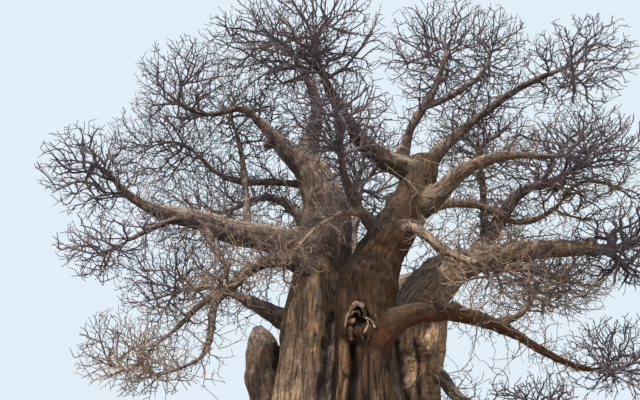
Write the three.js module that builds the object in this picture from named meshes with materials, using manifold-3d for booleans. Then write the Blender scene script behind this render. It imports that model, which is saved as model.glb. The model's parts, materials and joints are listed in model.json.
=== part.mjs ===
// A great baobab at the end of the dry season: stems grown together into one flared and fluted
// trunk, thick boughs that leave it from three metres up, and a bare crown of twigs.
// Lengths are in millimetres and angles in degrees. X runs to the right of someone who faces
// the tree, Y away from them, and Z up. The origin is on the ground, under the trunk.
import * as THREE from "three";
import { mergeVertices } from "three/addons/utils/BufferGeometryUtils.js";
import Module from "manifold-3d";

const wasm = await Module();
wasm.setup();

// The trunk's stems. Each stands at foot, [x, y]. Heading (from +X towards +Y), rise (above the
// level, past 90 to lean back) and diameter are given at even stations up to the top. Each has
// so many lobes, of a depth that is a share of the radius, and flares by a share of it at the
// ground. The last is a low one that ends in a rounded top beside the trunk's left.
const STEMS = [
  { foot: [-40, -2050], length: 4500, heading: [80, 80], rise: [88, 84],
    diameter: [2100, 1900, 1800, 1600], lobes: 5, depth: 0.09, turn: 20, flare: 0.3 },
  { foot: [-1500, 350], length: 6900, heading: [60, 40], rise: [90, 84],
    diameter: [3500, 3100, 2650, 2000], lobes: 7, depth: 0.06, turn: 70, flare: 0.24 },
  { foot: [1180, 500], length: 5700, heading: [20, 5], rise: [80, 66],
    diameter: [2900, 2600, 2250, 1500], lobes: 6, depth: 0.08, turn: 10, flare: 0.24 },
  { foot: [-100, 1750], length: 6000, heading: [75, 90], rise: [86, 80],
    diameter: [3000, 2700, 2300, 1500], lobes: 6, depth: 0.07, turn: 140, flare: 0.26 },
  { foot: [-100, -100], length: 4600, heading: [0, 0], rise: [90, 90],
    diameter: [4200, 3700, 3100, 1900], lobes: 9, depth: 0.04, turn: 0, flare: 0.12 },
  { foot: [-3200, 1000], length: 4150, heading: [180, 180], rise: [90, 76],
    diameter: [1500, 1200, 1250, 1500, 1300, 600], lobes: 5, depth: 0.06, turn: 30, flare: 0.3 },
];
const FLARE_HEIGHT = 750; // height in which the root flare fades to a third
const STEM_SIDES = 28;
const STEM_STEP = 700; // longest stretch between two rings of a stem
const GROUND_DEPTH = 400; // how far the stems are made below the cut at the ground
const GROUND_SIDE = 30000;
const DOME = 0.8; // how much a stem is narrowed at its top

// The boughs. One leaves the trunk at foot, [x, y, z], or its parent at a share of the parent's
// length. Heading, rise and diameter are at even stations, as on the stems.
const BOUGHS = [
  { name: "leaning_bough", foot: [-20, -1950, 3300], length: 7250,
    heading: [60, 5, 14, 16, 24], rise: [88, 74, 54, 59, 80],
    diameter: [1350, 1500, 1500, 1400, 1000] },
  { name: "crown_left_bough", parent: "leaning_bough", at: 0.92, length: 6150,
    heading: [-176, -157, -137, -134, -108], rise: [18, 21, 38, 44, 52],
    diameter: [820, 700, 500, 400, 250] },
  { name: "crown_middle_bough", parent: "crown_left_bough", at: 0.1, length: 5600,
    heading: [-24, -23, 6, 21, 16], rise: [102, 66, 55, 68, 71],
    diameter: [430, 370, 310, 260, 200] },
  { name: "crown_middle_fork", parent: "crown_middle_bough", at: 0.5, length: 4000,
    heading: [14, 15, 19, 23], rise: [23, 34, 40, 60], diameter: [280, 240, 210, 160] },
  { name: "crown_right_bough", parent: "leaning_bough", at: 0.95, length: 6550,
    heading: [1, 8, -25, -18], rise: [51, 42, 31, 13], diameter: [620, 370, 300, 200] },
  { name: "right_fork_bough", parent: "leaning_bough", at: 0.72, length: 6100,
    heading: [-20, -42, 0, 24, 6], rise: [-1, 39, 22, 9, 1],
    diameter: [900, 620, 420, 300, 200] },
  { name: "slender_bough", parent: "leaning_bough", at: 0.48, length: 4400,
    heading: [-123, -141, -123, -97], rise: [29, 35, 66, 58], diameter: [560, 380, 290, 230] },
  { name: "drooping_bough", parent: "slender_bough", at: 0.33, length: 4000,
    heading: [-142, -141, -129, -139], rise: [2, -31, -40, -57], diameter: [230, 190, 150, 100] },
  { name: "front_right_bough", parent: "leaning_bough", at: 0.56, length: 3550,
    heading: [-57, -44, -23], rise: [4, -47, -24], diameter: [520, 360, 220] },
  { name: "right_light_bough", parent: "leaning_bough", at: 0.6, length: 8750,
    heading: [32, 24, 18, 37, -3, -44], rise: [26, 30, 0, -17, 20, 54],
    diameter: [420, 380, 330, 280, 230, 160] },
  { name: "great_left_upright", foot: [-1300, 620, 5400], length: 5800,
    heading: [154, 155, 159, 165], rise: [97, 97, 72, 54], diameter: [1750, 1650, 1500, 1250] },
  { name: "kinked_left_bough", parent: "great_left_upright", at: 0.84, length: 6650,
    heading: [-161, -166, -175, -180, -179, -185, -158, -138],
    rise: [40, 41, 46, 49, 47, -19, -17, 19],
    diameter: [900, 780, 620, 450, 320, 270, 230, 180] },
  { name: "tall_left_bough", parent: "great_left_upright", at: 0.94, length: 5650,
    heading: [179, 178, 178, 174, 170], rise: [84, 111, 85, 65, 64],
    diameter: [900, 720, 480, 360, 260] },
  { name: "left_middle_bough", parent: "great_left_upright", at: 0.78, length: 7250,
    heading: [127, 161, 179, 167, 150, 141], rise: [6, 15, -2, 26, 46, 41],
    diameter: [420, 350, 310, 270, 220, 170] },
  { name: "left_great_bough", foot: [-1500, 350, 6500], length: 8450,
    heading: [-150, -165, -178, -175, -176, -155, -140], rise: [23, 17, 7, 23, 7, 24, 45],
    diameter: [1200, 1060, 980, 860, 680, 430, 220] },
  { name: "left_great_fork", parent: "left_great_bough", at: 0.62, length: 3250,
    heading: [-134, -130, -126], rise: [-22, -34, -41], diameter: [260, 200, 140] },
  { name: "left_inner_upright", parent: "left_great_bough", at: 0.34, length: 6250,
    heading: [97, 114, 138, 140], rise: [64, 71, 74, 61], diameter: [340, 290, 250, 170] },
  { name: "left_hanging_bough", parent: "left_great_bough", at: 0.54, length: 3500,
    heading: [-56, -56, -69], rise: [-57, -37, -30], diameter: [320, 280, 200] },
  { name: "left_low_bough", foot: [-1700, -200, 6000], length: 4500,
    heading: [-150, -153, -141, -141, -136], rise: [19, 3, -34, -47, -41],
    diameter: [760, 600, 470, 390, 310] },
  { name: "left_low_drop", parent: "left_low_bough", at: 0.97, length: 3300,
    heading: [-105, -80, -100, -140, -150], rise: [-60, -68, -60, -23, -18],
    diameter: [280, 240, 210, 170, 120] },
  { name: "left_low_reach", parent: "left_low_bough", at: 0.88, length: 3500,
    heading: [-179, -168, -168, -162], rise: [-13, -52, -40, -56], diameter: [300, 240, 180, 120] },
  { name: "left_shaded_bough", foot: [-1800, 1050, 3900], length: 5600,
    heading: [169, 160, 157, 157], rise: [27, 26, 25, -9], diameter: [900, 640, 360, 210] },
  { name: "right_low_bough", foot: [200, -2200, 3100], length: 10000,
    heading: [-6, 16, 24, 25, 21, 14, 3], rise: [54, 17, -5, -13, -27, -22, 6],
    diameter: [950, 700, 570, 440, 340, 240, 170] },
  { name: "right_low_fork", parent: "right_low_bough", at: 0.52, length: 2700,
    heading: [30, 19, 31, 40], rise: [17, 18, 43, 53], diameter: [320, 270, 230, 190] },
  { name: "right_great_bough", foot: [2000, 620, 4300], length: 8000,
    heading: [0, -5, -7, -9, -8, -5], rise: [59, 46, 16, 9, 0, -6],
    diameter: [1450, 1250, 970, 820, 720, 500] },
  { name: "right_inner_bough", parent: "right_great_bough", at: 0.42, length: 5050,
    heading: [24, 19, 3, -19], rise: [48, 50, 56, 0], diameter: [620, 560, 510, 380] },
  { name: "right_ground_bough", foot: [2000, 300, 2900], length: 4700,
    heading: [-6, -60, -54, -42], rise: [-28, -48, -10, 8], diameter: [620, 440, 330, 190] },
  { name: "rear_left_bough", foot: [-700, 1900, 4700], length: 10200,
    heading: [168, 162, 114, 133, 160], rise: [77, 71, 40, 27, -25],
    diameter: [1150, 800, 570, 420, 300] },
  { name: "rear_middle_bough", foot: [0, 2300, 4900], length: 9000,
    heading: [95, 88, 70, 85], rise: [60, 56, 48, 58], diameter: [1300, 900, 600, 360] },
  { name: "rear_right_bough", foot: [500, 1900, 4700], length: 10800,
    heading: [29, 22, 19, 20, 21], rise: [45, 20, 14, -2, -11],
    diameter: [1200, 850, 560, 400, 240] },
  { name: "rear_right_upright", parent: "rear_right_bough", at: 0.62, length: 6050,
    heading: [43, 45, 48, 45], rise: [82, 78, 87, 95], diameter: [460, 400, 330, 240] },
];

// The crown's masses of bare twigs, one at each free end. Its space is an ellipsoid of half
// sizes [x, y, z], whose middle is carried on from the bough's tip at a heading and a rise.
const MASSES = [
  { on: "crown_left_bough", heading: -120, rise: 30, carry: 600, half: [2800, 2600, 2100], seed: 11 },
  { on: "crown_middle_bough", heading: 120, rise: 50, carry: 700, half: [2500, 2700, 2200], seed: 12 },
  { on: "crown_middle_fork", heading: 80, rise: 60, carry: 900, half: [2000, 2500, 2000], seed: 13 },
  { on: "crown_right_bough", heading: 0, rise: 15, carry: 950, half: [2200, 2500, 1850], seed: 14 },
  { on: "right_fork_bough", heading: 5, rise: 10, carry: 1200, half: [2300, 2400, 1600], seed: 15 },
  { on: "slender_bough", heading: -95, rise: 50, carry: 400, half: [2100, 2200, 1800], seed: 16 },
  { on: "drooping_bough", heading: -130, rise: 0, carry: 350, half: [1300, 1300, 1100], seed: 17 },
  { on: "front_right_bough", heading: -38, rise: -12, carry: 700, half: [1900, 1600, 1500], seed: 18 },
  { on: "right_light_bough", heading: -30, rise: -20, carry: 800, half: [2800, 2400, 1800], seed: 19 },
  { on: "kinked_left_bough", heading: 49, rise: 77, carry: 720, half: [2600, 2800, 2400], seed: 20 },
  { on: "tall_left_bough", heading: -170, rise: 20, carry: 1150, half: [3300, 3000, 2300], seed: 21 },
  { on: "left_middle_bough", heading: 170, rise: 6, carry: 1310, half: [2700, 3000, 2400], seed: 22 },
  { on: "left_great_bough", heading: 175, rise: 20, carry: 700, half: [2000, 2300, 1900], seed: 23 },
  { on: "left_great_fork", heading: -140, rise: -10, carry: 450, half: [1500, 1600, 1200], seed: 24 },
  { on: "left_inner_upright", heading: 40, rise: 45, carry: 1000, half: [2500, 2800, 2400], seed: 25 },
  { on: "left_hanging_bough", heading: -110, rise: -45, carry: 700, half: [1300, 1500, 1200], seed: 26 },
  { on: "left_low_drop", heading: -140, rise: 35, carry: 450, half: [1500, 1700, 1100], seed: 27 },
  { on: "left_low_reach", heading: 150, rise: 50, carry: 650, half: [1700, 2000, 1500], seed: 28 },
  { on: "left_shaded_bough", heading: 165, rise: 20, carry: 950, half: [2600, 2800, 2000], seed: 29 },
  { on: "right_low_bough", heading: 8, rise: 30, carry: 850, half: [2400, 2500, 1600], seed: 30 },
  { on: "right_low_fork", heading: 35, rise: 22, carry: 900, half: [2500, 2500, 1700], seed: 31 },
  { on: "right_great_bough", heading: 0, rise: 12, carry: 1300, half: [2300, 2700, 2000], seed: 32 },
  { on: "right_inner_bough", heading: 0, rise: 40, carry: 1500, half: [2800, 2800, 2300], seed: 33 },
  { on: "right_ground_bough", heading: -45, rise: 15, carry: 450, half: [1500, 1700, 1100], seed: 34 },
  { on: "rear_left_bough", heading: 156, rise: 4, carry: 1900, half: [3500, 3200, 3000], seed: 35 },
  { on: "rear_middle_bough", heading: 80, rise: 55, carry: 1300, half: [3900, 3200, 3400], seed: 36 },
  { on: "rear_right_bough", heading: 60, rise: 20, carry: 900, half: [2700, 3000, 2100], seed: 37 },
  { on: "rear_right_upright", heading: 50, rise: 60, carry: 600, half: [3000, 3000, 2600], seed: 38 },
];
const SPACE_MARGIN = 0.05; // share of its half size that a mass keeps from the next mass
const TWIG_CLEARANCE = 130; // between a twig's middle line and any limb's side
const LOWEST_TWIG = 350;
const STEM_NODES = 5;
const STEM_REACH = 0.7; // share of the way from the middle to the far side that a stem covers
const POINT_SHARE = 455; // a mass tries to reach one point for so much of its half sizes' sum
const OUTWARD = 0.28; // the lower, the nearer these points are to the outside of the space
const SHORTEST_TWIG = 350;
const LONGEST_TWIG = 2100;
const MOST_CHILDREN = 3; // twigs that one node carries on into
const SHARPEST_TURN = 85;
const SITE_STEP = 600; // spacing of the places along a twig that others can grow from
const TRIES = 3; // times that a point which no twig reached is tried again
const TURN_COST = 0.7; // how much a sharp turn lengthens a twig in the choice of its parent
const PATH_COST = 0.25; // and how much the way already come does
const TEST_STEP = 160; // spacing of the places tested along a twig
const TWIG_RADIUS = 16; // at a twig's free end
const STEM_FIT = 0.92; // a stem's foot against the bough's tip
const STEM_GAP = 0.3; // between them
const TWIG_SIDES = 3;
const FORK_GAP = 0.4; // a limb is made this much thicker before it cuts the foot of a later one
const LIMB_STEP = 950; // longest stretch between two rings of a limb
const THICK = 700; // a limb at least this thick at the foot has the most sides
const THIN = 400; // and one thinner than this the fewest
const SIDES = { thick: 10, middle: 8, thin: 6 };

const WALK_STEPS = 36; // even steps that a limb's path is walked in
const UP = new THREE.Vector3(0, 0, 1);
const DICE_START = 7919; // three primes that keep the dice's rolls well mixed
const DICE_STEP = 16807;
const DICE_SPAN = 2147483647;

const radians = (degrees) => (degrees * Math.PI) / 180;

// A value read off evenly spaced stations at the share t of the way.
function along(stations, t) {
  const place = Math.min(Math.max(t, 0), 1) * (stations.length - 1);
  const i = Math.min(Math.floor(place), stations.length - 2);
  return stations[i] + (stations[i + 1] - stations[i]) * (place - i);
}

// The unit vector at a heading and a rise.
function bearing(heading, rise) {
  const level = Math.cos(radians(rise));
  return new THREE.Vector3(
    level * Math.cos(radians(heading)),
    level * Math.sin(radians(heading)),
    Math.sin(radians(rise)),
  );
}

// Walks a limb's path from its start, turning as its stations say.
function walk(row, start) {
  const points = [start.clone()];
  const step = row.length / WALK_STEPS;
  for (let i = 0; i < WALK_STEPS; i += 1) {
    const t = (i + 0.5) / WALK_STEPS;
    const ahead = bearing(along(row.heading, t), along(row.rise, t));
    points.push(points[i].clone().addScaledVector(ahead, step));
  }
  return points;
}

// The point at a share of the way along a path, whose steps are all as long.
function pointAt(path, t) {
  const place = Math.min(Math.max(t, 0), 1) * WALK_STEPS;
  const i = Math.min(Math.floor(place), WALK_STEPS - 1);
  return path[i].clone().lerp(path[i + 1], place - i);
}

// Frames along a line of points that turn no more than it does: x and z across, y ahead.
function framesOf(points, first) {
  const last = points.length - 1;
  let side = null;
  return points.map((point, i) => {
    const ahead = points[Math.min(i + 1, last)].clone().sub(points[Math.max(i - 1, 0)]).normalize();
    if (i === 0 && first) ahead.copy(first);
    if (side === null) side = Math.abs(ahead.z) > 0.9 ? new THREE.Vector3(1, 0, 0) : UP.clone();
    side = side.clone().addScaledVector(ahead, -side.dot(ahead)).normalize();
    return new THREE.Matrix4().makeBasis(side, ahead, side.clone().cross(ahead)).setPosition(point);
  });
}

// A closed tube along a line of points, whose radius is a function of the ring and the angle.
function tube(points, sides, radiusAt, first) {
  const rings = points.length - 1;
  const geometry = new THREE.CylinderGeometry(1, 1, 1, sides, rings);
  const frames = framesOf(points, first);
  const spots = geometry.getAttribute("position");
  const spot = new THREE.Vector3();
  for (let i = 0; i < spots.count; i += 1) {
    spot.fromBufferAttribute(spots, i);
    const ring = Math.round((spot.y + 0.5) * rings);
    const radius = radiusAt(ring, Math.atan2(spot.z, spot.x));
    spot.set(spot.x * radius, 0, spot.z * radius).applyMatrix4(frames[ring]);
    spots.setXYZ(i, spot.x, spot.y, spot.z);
  }
  return solid(geometry);
}

// A geometry as a solid that can be joined and cut.
function solid(geometry) {
  geometry.deleteAttribute("normal");
  geometry.deleteAttribute("uv");
  const merged = mergeVertices(geometry, 1e-3);
  return new wasm.Manifold(
    new wasm.Mesh({
      numProp: 3,
      vertProperties: merged.getAttribute("position").array,
      triVerts: new Uint32Array(merged.index.array),
    }),
  );
}

// The largest body of a solid that a cut may have left in several.
function largest(shape) {
  return shape.decompose().reduce((best, next) => (next.volume() > best.volume() ? next : best));
}

// A solid as a named mesh with a material of its own.
function piece(name, shape, material) {
  const cut = shape.getMesh();
  const geometry = new THREE.BufferGeometry();
  const spots = new Float32Array(cut.numVert * 3);
  for (let i = 0; i < cut.numVert; i += 1) {
    spots.set(cut.vertProperties.subarray(i * cut.numProp, i * cut.numProp + 3), i * 3);
  }
  geometry.setAttribute("position", new THREE.BufferAttribute(spots, 3));
  geometry.setIndex(new THREE.BufferAttribute(new Uint32Array(cut.triVerts), 1));
  geometry.computeVertexNormals();
  const mesh = new THREE.Mesh(geometry, material.clone());
  mesh.name = name;
  return mesh;
}

// Points at even shares of a path.
function spaced(path, rings) {
  return Array.from({ length: rings + 1 }, (_, i) => pointAt(path, i / rings));
}

// A stem with the part below the ground that the cut takes off.
function buried(row) {
  const start = new THREE.Vector3(row.foot[0], row.foot[1], -GROUND_DEPTH);
  return walk({ ...row, length: row.length + GROUND_DEPTH }, start);
}

// How much a stem is wider for its root flare, at a share of the way up.
function flareOf(row, t) {
  const height = Math.max(0, t * (row.length + GROUND_DEPTH) - GROUND_DEPTH);
  return 1 + row.flare * Math.exp(-height / FLARE_HEIGHT);
}

// The same line of points with both ends drawn out a little.
function drawnOut(points, extra) {
  const ends = points.map((point) => point.clone());
  const toward = (from, to) => to.clone().sub(from).normalize().multiplyScalar(extra);
  ends[0].add(toward(points[1], points[0]));
  ends.at(-1).add(toward(points.at(-2), points.at(-1)));
  return ends;
}

// One stem of the trunk, extra thicker all round, with its lobes and its flare at the ground.
function stem(row, extra) {
  const rings = Math.ceil((row.length + GROUND_DEPTH) / STEM_STEP);
  return tube(drawnOut(spaced(buried(row), rings), extra), STEM_SIDES, (ring, angle) => {
    const flare = flareOf(row, ring / rings);
    const lobe = row.depth * Math.cos(row.lobes * angle + radians(row.turn));
    const top = ring === rings ? DOME : 1;
    return (along(row.diameter, ring / rings) / 2) * flare * (1 + lobe * flare) * top + extra;
  });
}

// The trunk: its stems joined and cut flat at the ground.
function trunk(extra) {
  const ground = new THREE.BoxGeometry(GROUND_SIDE, GROUND_SIDE, GROUND_DEPTH * 3);
  ground.translate(0, 0, (-GROUND_DEPTH * 3) / 2);
  return STEMS.map((row) => stem(row, extra))
    .reduce((joined, next) => joined.add(next))
    .subtract(solid(ground));
}

// Works out every bough's path, from the trunk outwards.
function pathsOf(rows) {
  const paths = new Map();
  for (const row of rows) {
    const start = row.parent
      ? pointAt(paths.get(row.parent), row.at)
      : new THREE.Vector3(...row.foot);
    paths.set(row.name, walk(row, start));
  }
  return paths;
}

function sidesOf(diameter) {
  if (diameter >= THICK) return SIDES.thick;
  return diameter >= THIN ? SIDES.middle : SIDES.thin;
}

// The middles of a bough's rings.
function boughPoints(row, path) {
  return spaced(path, Math.ceil(row.length / LIMB_STEP));
}

// One tapering bough, extra thicker all round.
function bough(row, path, extra) {
  const points = boughPoints(row, path);
  const share = (ring) => ring / (points.length - 1);
  const radiusAt = (ring) => along(row.diameter, share(ring)) / 2 + extra;
  return tube(drawnOut(points, extra), sidesOf(row.diameter[0]), radiusAt);
}

// Places along a limb, with its radius there, for keeping twigs clear of it.
function spotsOf(row, path, widen) {
  return path.map((at, i) => {
    const t = i / WALK_STEPS;
    return { at, radius: (along(row.diameter, t) / 2) * widen(t) };
  });
}

// A seeded dice: the same rolls every time, between nought and one.
function diceOf(seed) {
  let state = seed * DICE_START;
  return () => {
    state = (state * DICE_STEP) % DICE_SPAN;
    return state / DICE_SPAN;
  };
}

// How far a point is from the middle of a mass's space, where 1 is its surface.
function depthIn(space, point) {
  return point.clone().sub(space.middle).divide(space.half).length();
}

// Whether a point is in its own space, above the ground and clear of every limb.
function isFree(point, space, spaces, limbs) {
  const depth = depthIn(space, point);
  if (depth > 1 || point.z < LOWEST_TWIG) return false;
  for (const other of spaces) {
    if (other !== space && depthIn(other, point) < depth + SPACE_MARGIN) return false;
  }
  for (const limb of limbs) {
    for (const spot of limb) {
      if (point.distanceTo(spot.at) < spot.radius + TWIG_CLEARANCE) return false;
    }
  }
  return true;
}

// Whether the whole of a twig between two points is free.
function isFreeTwig(from, to, space, spaces, limbs) {
  const tests = Math.ceil(from.distanceTo(to) / TEST_STEP);
  for (let i = 1; i <= tests; i += 1) {
    if (!isFree(from.clone().lerp(to, i / tests), space, spaces, limbs)) return false;
  }
  return true;
}

// Grows one mass: a stem first, then a twig to each random point, nearest the foot first, from
// the node that gives the shortest and straightest way.
function grow(space, spaces, limbs) {
  const roll = diceOf(space.seed);
  const nodes = [{ at: space.foot, ahead: space.ahead, parent: -1, way: 0, children: 0, ring: true }];
  const add = (point, from) => {
    const start = nodes[from].at;
    const length = start.distanceTo(point);
    const ahead = point.clone().sub(start).normalize();
    const steps = Math.ceil(length / SITE_STEP);
    let parent = from;
    for (let i = 1; i <= steps; i += 1) {
      nodes[parent].children += 1;
      nodes.push({
        at: start.clone().lerp(point, i / steps),
        ahead,
        parent,
        way: nodes[from].way + (length * i) / steps,
        children: 0,
        ring: i === steps,
      });
      parent = nodes.length - 1;
    }
    return parent;
  };
  const bend = space.foot.clone().addScaledVector(space.ahead, space.foot.distanceTo(space.far) / 2);
  const line = new THREE.QuadraticBezierCurve3(space.foot, bend, space.far);
  const otherLimbs = limbs.filter((limb) => limb !== space.limb);
  let end = 0;
  for (let i = 1; i <= STEM_NODES; i += 1) {
    const point = line.getPoint(i / STEM_NODES);
    if (!isFreeTwig(nodes[end].at, point, space, spaces, otherLimbs)) break;
    end = add(point, end);
  }
  const points = [];
  const count = Math.round((space.half.x + space.half.y + space.half.z) / POINT_SHARE);
  for (let i = 0; i < count; i += 1) {
    const height = 2 * roll() - 1;
    const turn = 2 * Math.PI * roll();
    const out = Math.pow(roll(), OUTWARD);
    const level = Math.sqrt(1 - height * height);
    points.push(
      new THREE.Vector3(level * Math.cos(turn), level * Math.sin(turn), height)
        .multiplyScalar(out)
        .multiply(space.half)
        .add(space.middle),
    );
  }
  points.sort((a, b) => a.distanceTo(space.foot) - b.distanceTo(space.foot));
  const reach = (point) => {
    const choices = [];
    for (let i = 1; i < nodes.length; i += 1) {
      if (nodes[i].children >= MOST_CHILDREN) continue;
      const twig = point.clone().sub(nodes[i].at);
      const length = twig.length();
      if (length < SHORTEST_TWIG || length > LONGEST_TWIG) continue;
      const straight = twig.dot(nodes[i].ahead) / length;
      if (straight < Math.cos(radians(SHARPEST_TURN))) continue;
      choices.push({ i, cost: length * (1 + TURN_COST * (1 - straight)) + PATH_COST * nodes[i].way });
    }
    choices.sort((a, b) => a.cost - b.cost);
    const best = choices.find(({ i }) => isFreeTwig(nodes[i].at, point, space, spaces, limbs));
    if (best) add(point, best.i);
    return best !== undefined;
  };
  let left = points;
  for (let i = 0; i < TRIES; i += 1) left = left.filter((point) => !reach(point));
  return nodes;
}

// Gives each node its thickness, by how many free ends it carries, and follows the thickest
// child from each node, so that the nodes fall into chains.
function chainsOf(nodes, footRadius) {
  const ends = nodes.map(() => 0);
  const children = nodes.map(() => []);
  for (let i = nodes.length - 1; i >= 0; i -= 1) {
    if (ends[i] === 0) ends[i] = 1;
    if (i > 0) {
      ends[nodes[i].parent] += ends[i];
      children[nodes[i].parent].push(i);
    }
  }
  const power = Math.log(footRadius / TWIG_RADIUS) / Math.log(ends[0]);
  const ring = (i, thickness) => ({
    at: nodes[i].at,
    radius: TWIG_RADIUS * Math.pow(ends[thickness], power),
  });
  const chains = [];
  const follow = (start, chain) => {
    let i = start;
    while (i !== undefined) {
      const here = i;
      if (nodes[here].ring || children[here].length > 1) chain.push(ring(here, here));
      const next = children[here].toSorted((a, b) => ends[b] - ends[a]);
      next.slice(1).forEach((child) => follow(child, [ring(here, child)]));
      i = next[0];
    }
    chains.push(chain);
  };
  follow(0, []);
  return chains;
}

// One mass as a solid: a three-sided tube for each chain, all joined.
function mass(space, spaces, limbs) {
  const chains = chainsOf(grow(space, spaces, limbs), space.footRadius);
  return chains
    .map((chain) => {
      const points = chain.map((ring) => ring.at);
      const first = points[0] === space.foot ? space.ahead : null;
      return tube(points, TWIG_SIDES, (ring) => chain[ring].radius, first);
    })
    .reduce((joined, next) => joined.add(next));
}

// A mass's space, from the bough that it grows on.
function spaceOf(row, boughRow, path, limb) {
  const points = boughPoints(boughRow, path);
  const tip = points.at(-1);
  const ahead = tip.clone().sub(points.at(-2)).normalize();
  const out = bearing(row.heading, row.rise);
  const middle = tip.clone().addScaledVector(out, row.carry);
  const half = new THREE.Vector3(...row.half);
  const toSide = 1 / out.clone().divide(half).length();
  return {
    foot: tip.clone().addScaledVector(ahead, STEM_GAP),
    far: middle.clone().addScaledVector(out, toSide * STEM_REACH),
    footRadius: (boughRow.diameter.at(-1) / 2) * STEM_FIT,
    ahead,
    middle,
    half,
    limb,
    seed: row.seed,
  };
}

const bark = new THREE.MeshStandardMaterial({ color: 0x8a7464, roughness: 0.9, metalness: 0 });
const twigs = new THREE.MeshStandardMaterial({ color: 0x7d6c62, roughness: 0.9, metalness: 0 });
const tree = new THREE.Group();
const paths = pathsOf(BOUGHS);
const rowOf = new Map(BOUGHS.map((row) => [row.name, row]));

// Each limb is cut by the trunk and by the limbs made before it, so its foot fits theirs.
tree.add(piece("trunk", trunk(0), bark));
const cutters = [trunk(FORK_GAP)];
for (const row of BOUGHS) {
  const path = paths.get(row.name);
  const cut = cutters.reduce((left, cutter) => left.subtract(cutter), bough(row, path, 0));
  tree.add(piece(row.name, largest(cut), bark));
  cutters.push(bough(row, path, FORK_GAP));
}

const boughSpots = new Map(BOUGHS.map((row) => [row.name, spotsOf(row, paths.get(row.name), () => 1)]));
const stemSpots = STEMS.map((row) => spotsOf(row, buried(row), (t) => flareOf(row, t)));
const limbs = [...boughSpots.values(), ...stemSpots];
const spaces = MASSES.map((row) =>
  spaceOf(row, rowOf.get(row.on), paths.get(row.on), boughSpots.get(row.on)),
);
MASSES.forEach((row, i) => {
  const name = `${row.on.replace("_bough", "")}_twigs`;
  tree.add(piece(name, mass(spaces[i], spaces, limbs), twigs));
});

export default tree;
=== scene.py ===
import itertools
import json
import math

import bmesh
import bpy
import numpy as np
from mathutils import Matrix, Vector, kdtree

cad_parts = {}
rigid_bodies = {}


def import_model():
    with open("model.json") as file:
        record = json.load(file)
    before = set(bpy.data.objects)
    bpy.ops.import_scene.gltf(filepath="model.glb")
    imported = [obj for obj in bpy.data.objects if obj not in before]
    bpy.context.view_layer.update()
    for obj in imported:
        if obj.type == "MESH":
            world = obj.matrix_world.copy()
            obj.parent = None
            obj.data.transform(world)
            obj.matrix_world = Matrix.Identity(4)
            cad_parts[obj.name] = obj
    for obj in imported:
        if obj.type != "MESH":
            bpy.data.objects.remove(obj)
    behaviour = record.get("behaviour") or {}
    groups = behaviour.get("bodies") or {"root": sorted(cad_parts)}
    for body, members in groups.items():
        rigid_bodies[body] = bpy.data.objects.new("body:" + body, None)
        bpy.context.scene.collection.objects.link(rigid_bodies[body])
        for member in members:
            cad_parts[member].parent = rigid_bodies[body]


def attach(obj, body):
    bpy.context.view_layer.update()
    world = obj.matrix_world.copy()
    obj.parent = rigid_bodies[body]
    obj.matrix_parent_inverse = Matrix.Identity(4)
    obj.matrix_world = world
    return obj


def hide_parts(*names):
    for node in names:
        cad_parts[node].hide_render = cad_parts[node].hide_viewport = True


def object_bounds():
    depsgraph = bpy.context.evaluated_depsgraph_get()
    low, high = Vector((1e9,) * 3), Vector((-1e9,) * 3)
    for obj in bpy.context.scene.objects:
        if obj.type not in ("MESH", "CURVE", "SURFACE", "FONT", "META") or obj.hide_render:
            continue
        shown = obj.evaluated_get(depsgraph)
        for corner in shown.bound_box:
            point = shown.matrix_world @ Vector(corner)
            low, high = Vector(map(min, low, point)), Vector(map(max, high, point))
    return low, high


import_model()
solid_box = [list(corner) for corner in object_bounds()]

# The camera stands twenty metres in front of the trunk, at eye height, and looks up into the
# crown, as the picture was taken.
EYE = (-1.36, -20.0, 1.6)
LOOK_UP = 19.86
LENS = 30.375
camera = bpy.data.objects.new("camera", bpy.data.cameras.new("camera"))
camera.data.lens = LENS
camera.data.clip_end = 500
camera.location = EYE
camera.rotation_euler = (math.radians(90 + LOOK_UP), 0, 0)
bpy.context.scene.collection.objects.link(camera)
bpy.context.scene.camera = camera

# The limbs: the stems that have grown together into the trunk, and the boughs that leave it.
# Each row holds a limb's foot, or its parent and where on it, its length, and its heading,
# rise and diameter at even stations from the foot to the tip, as the solids were made.
STEMS = [
    dict(foot=(-0.04, -2.05), length=4.5, heading=(80, 80), rise=(88, 84),
         diameter=(2.1, 1.9, 1.8, 1.6), lobes=5, depth=0.09, turn=20, flare=0.3),
    dict(foot=(-1.5, 0.35), length=6.9, heading=(60, 40), rise=(90, 84),
         diameter=(3.5, 3.1, 2.65, 2.0), lobes=7, depth=0.06, turn=70, flare=0.24),
    dict(foot=(1.18, 0.5), length=5.7, heading=(20, 5), rise=(80, 66),
         diameter=(2.9, 2.6, 2.25, 1.5), lobes=6, depth=0.08, turn=10, flare=0.24),
    dict(foot=(-0.1, 1.75), length=6.0, heading=(75, 90), rise=(86, 80),
         diameter=(3.0, 2.7, 2.3, 1.5), lobes=6, depth=0.07, turn=140, flare=0.26),
    dict(foot=(-0.1, -0.1), length=4.6, heading=(0, 0), rise=(90, 90),
         diameter=(4.2, 3.7, 3.1, 1.9), lobes=9, depth=0.04, turn=0, flare=0.12),
    dict(foot=(-3.2, 1.0), length=4.15, heading=(180, 180), rise=(90, 76),
         diameter=(1.5, 1.2, 1.25, 1.5, 1.3, 0.6), lobes=5, depth=0.06, turn=30, flare=0.3),
]
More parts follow.
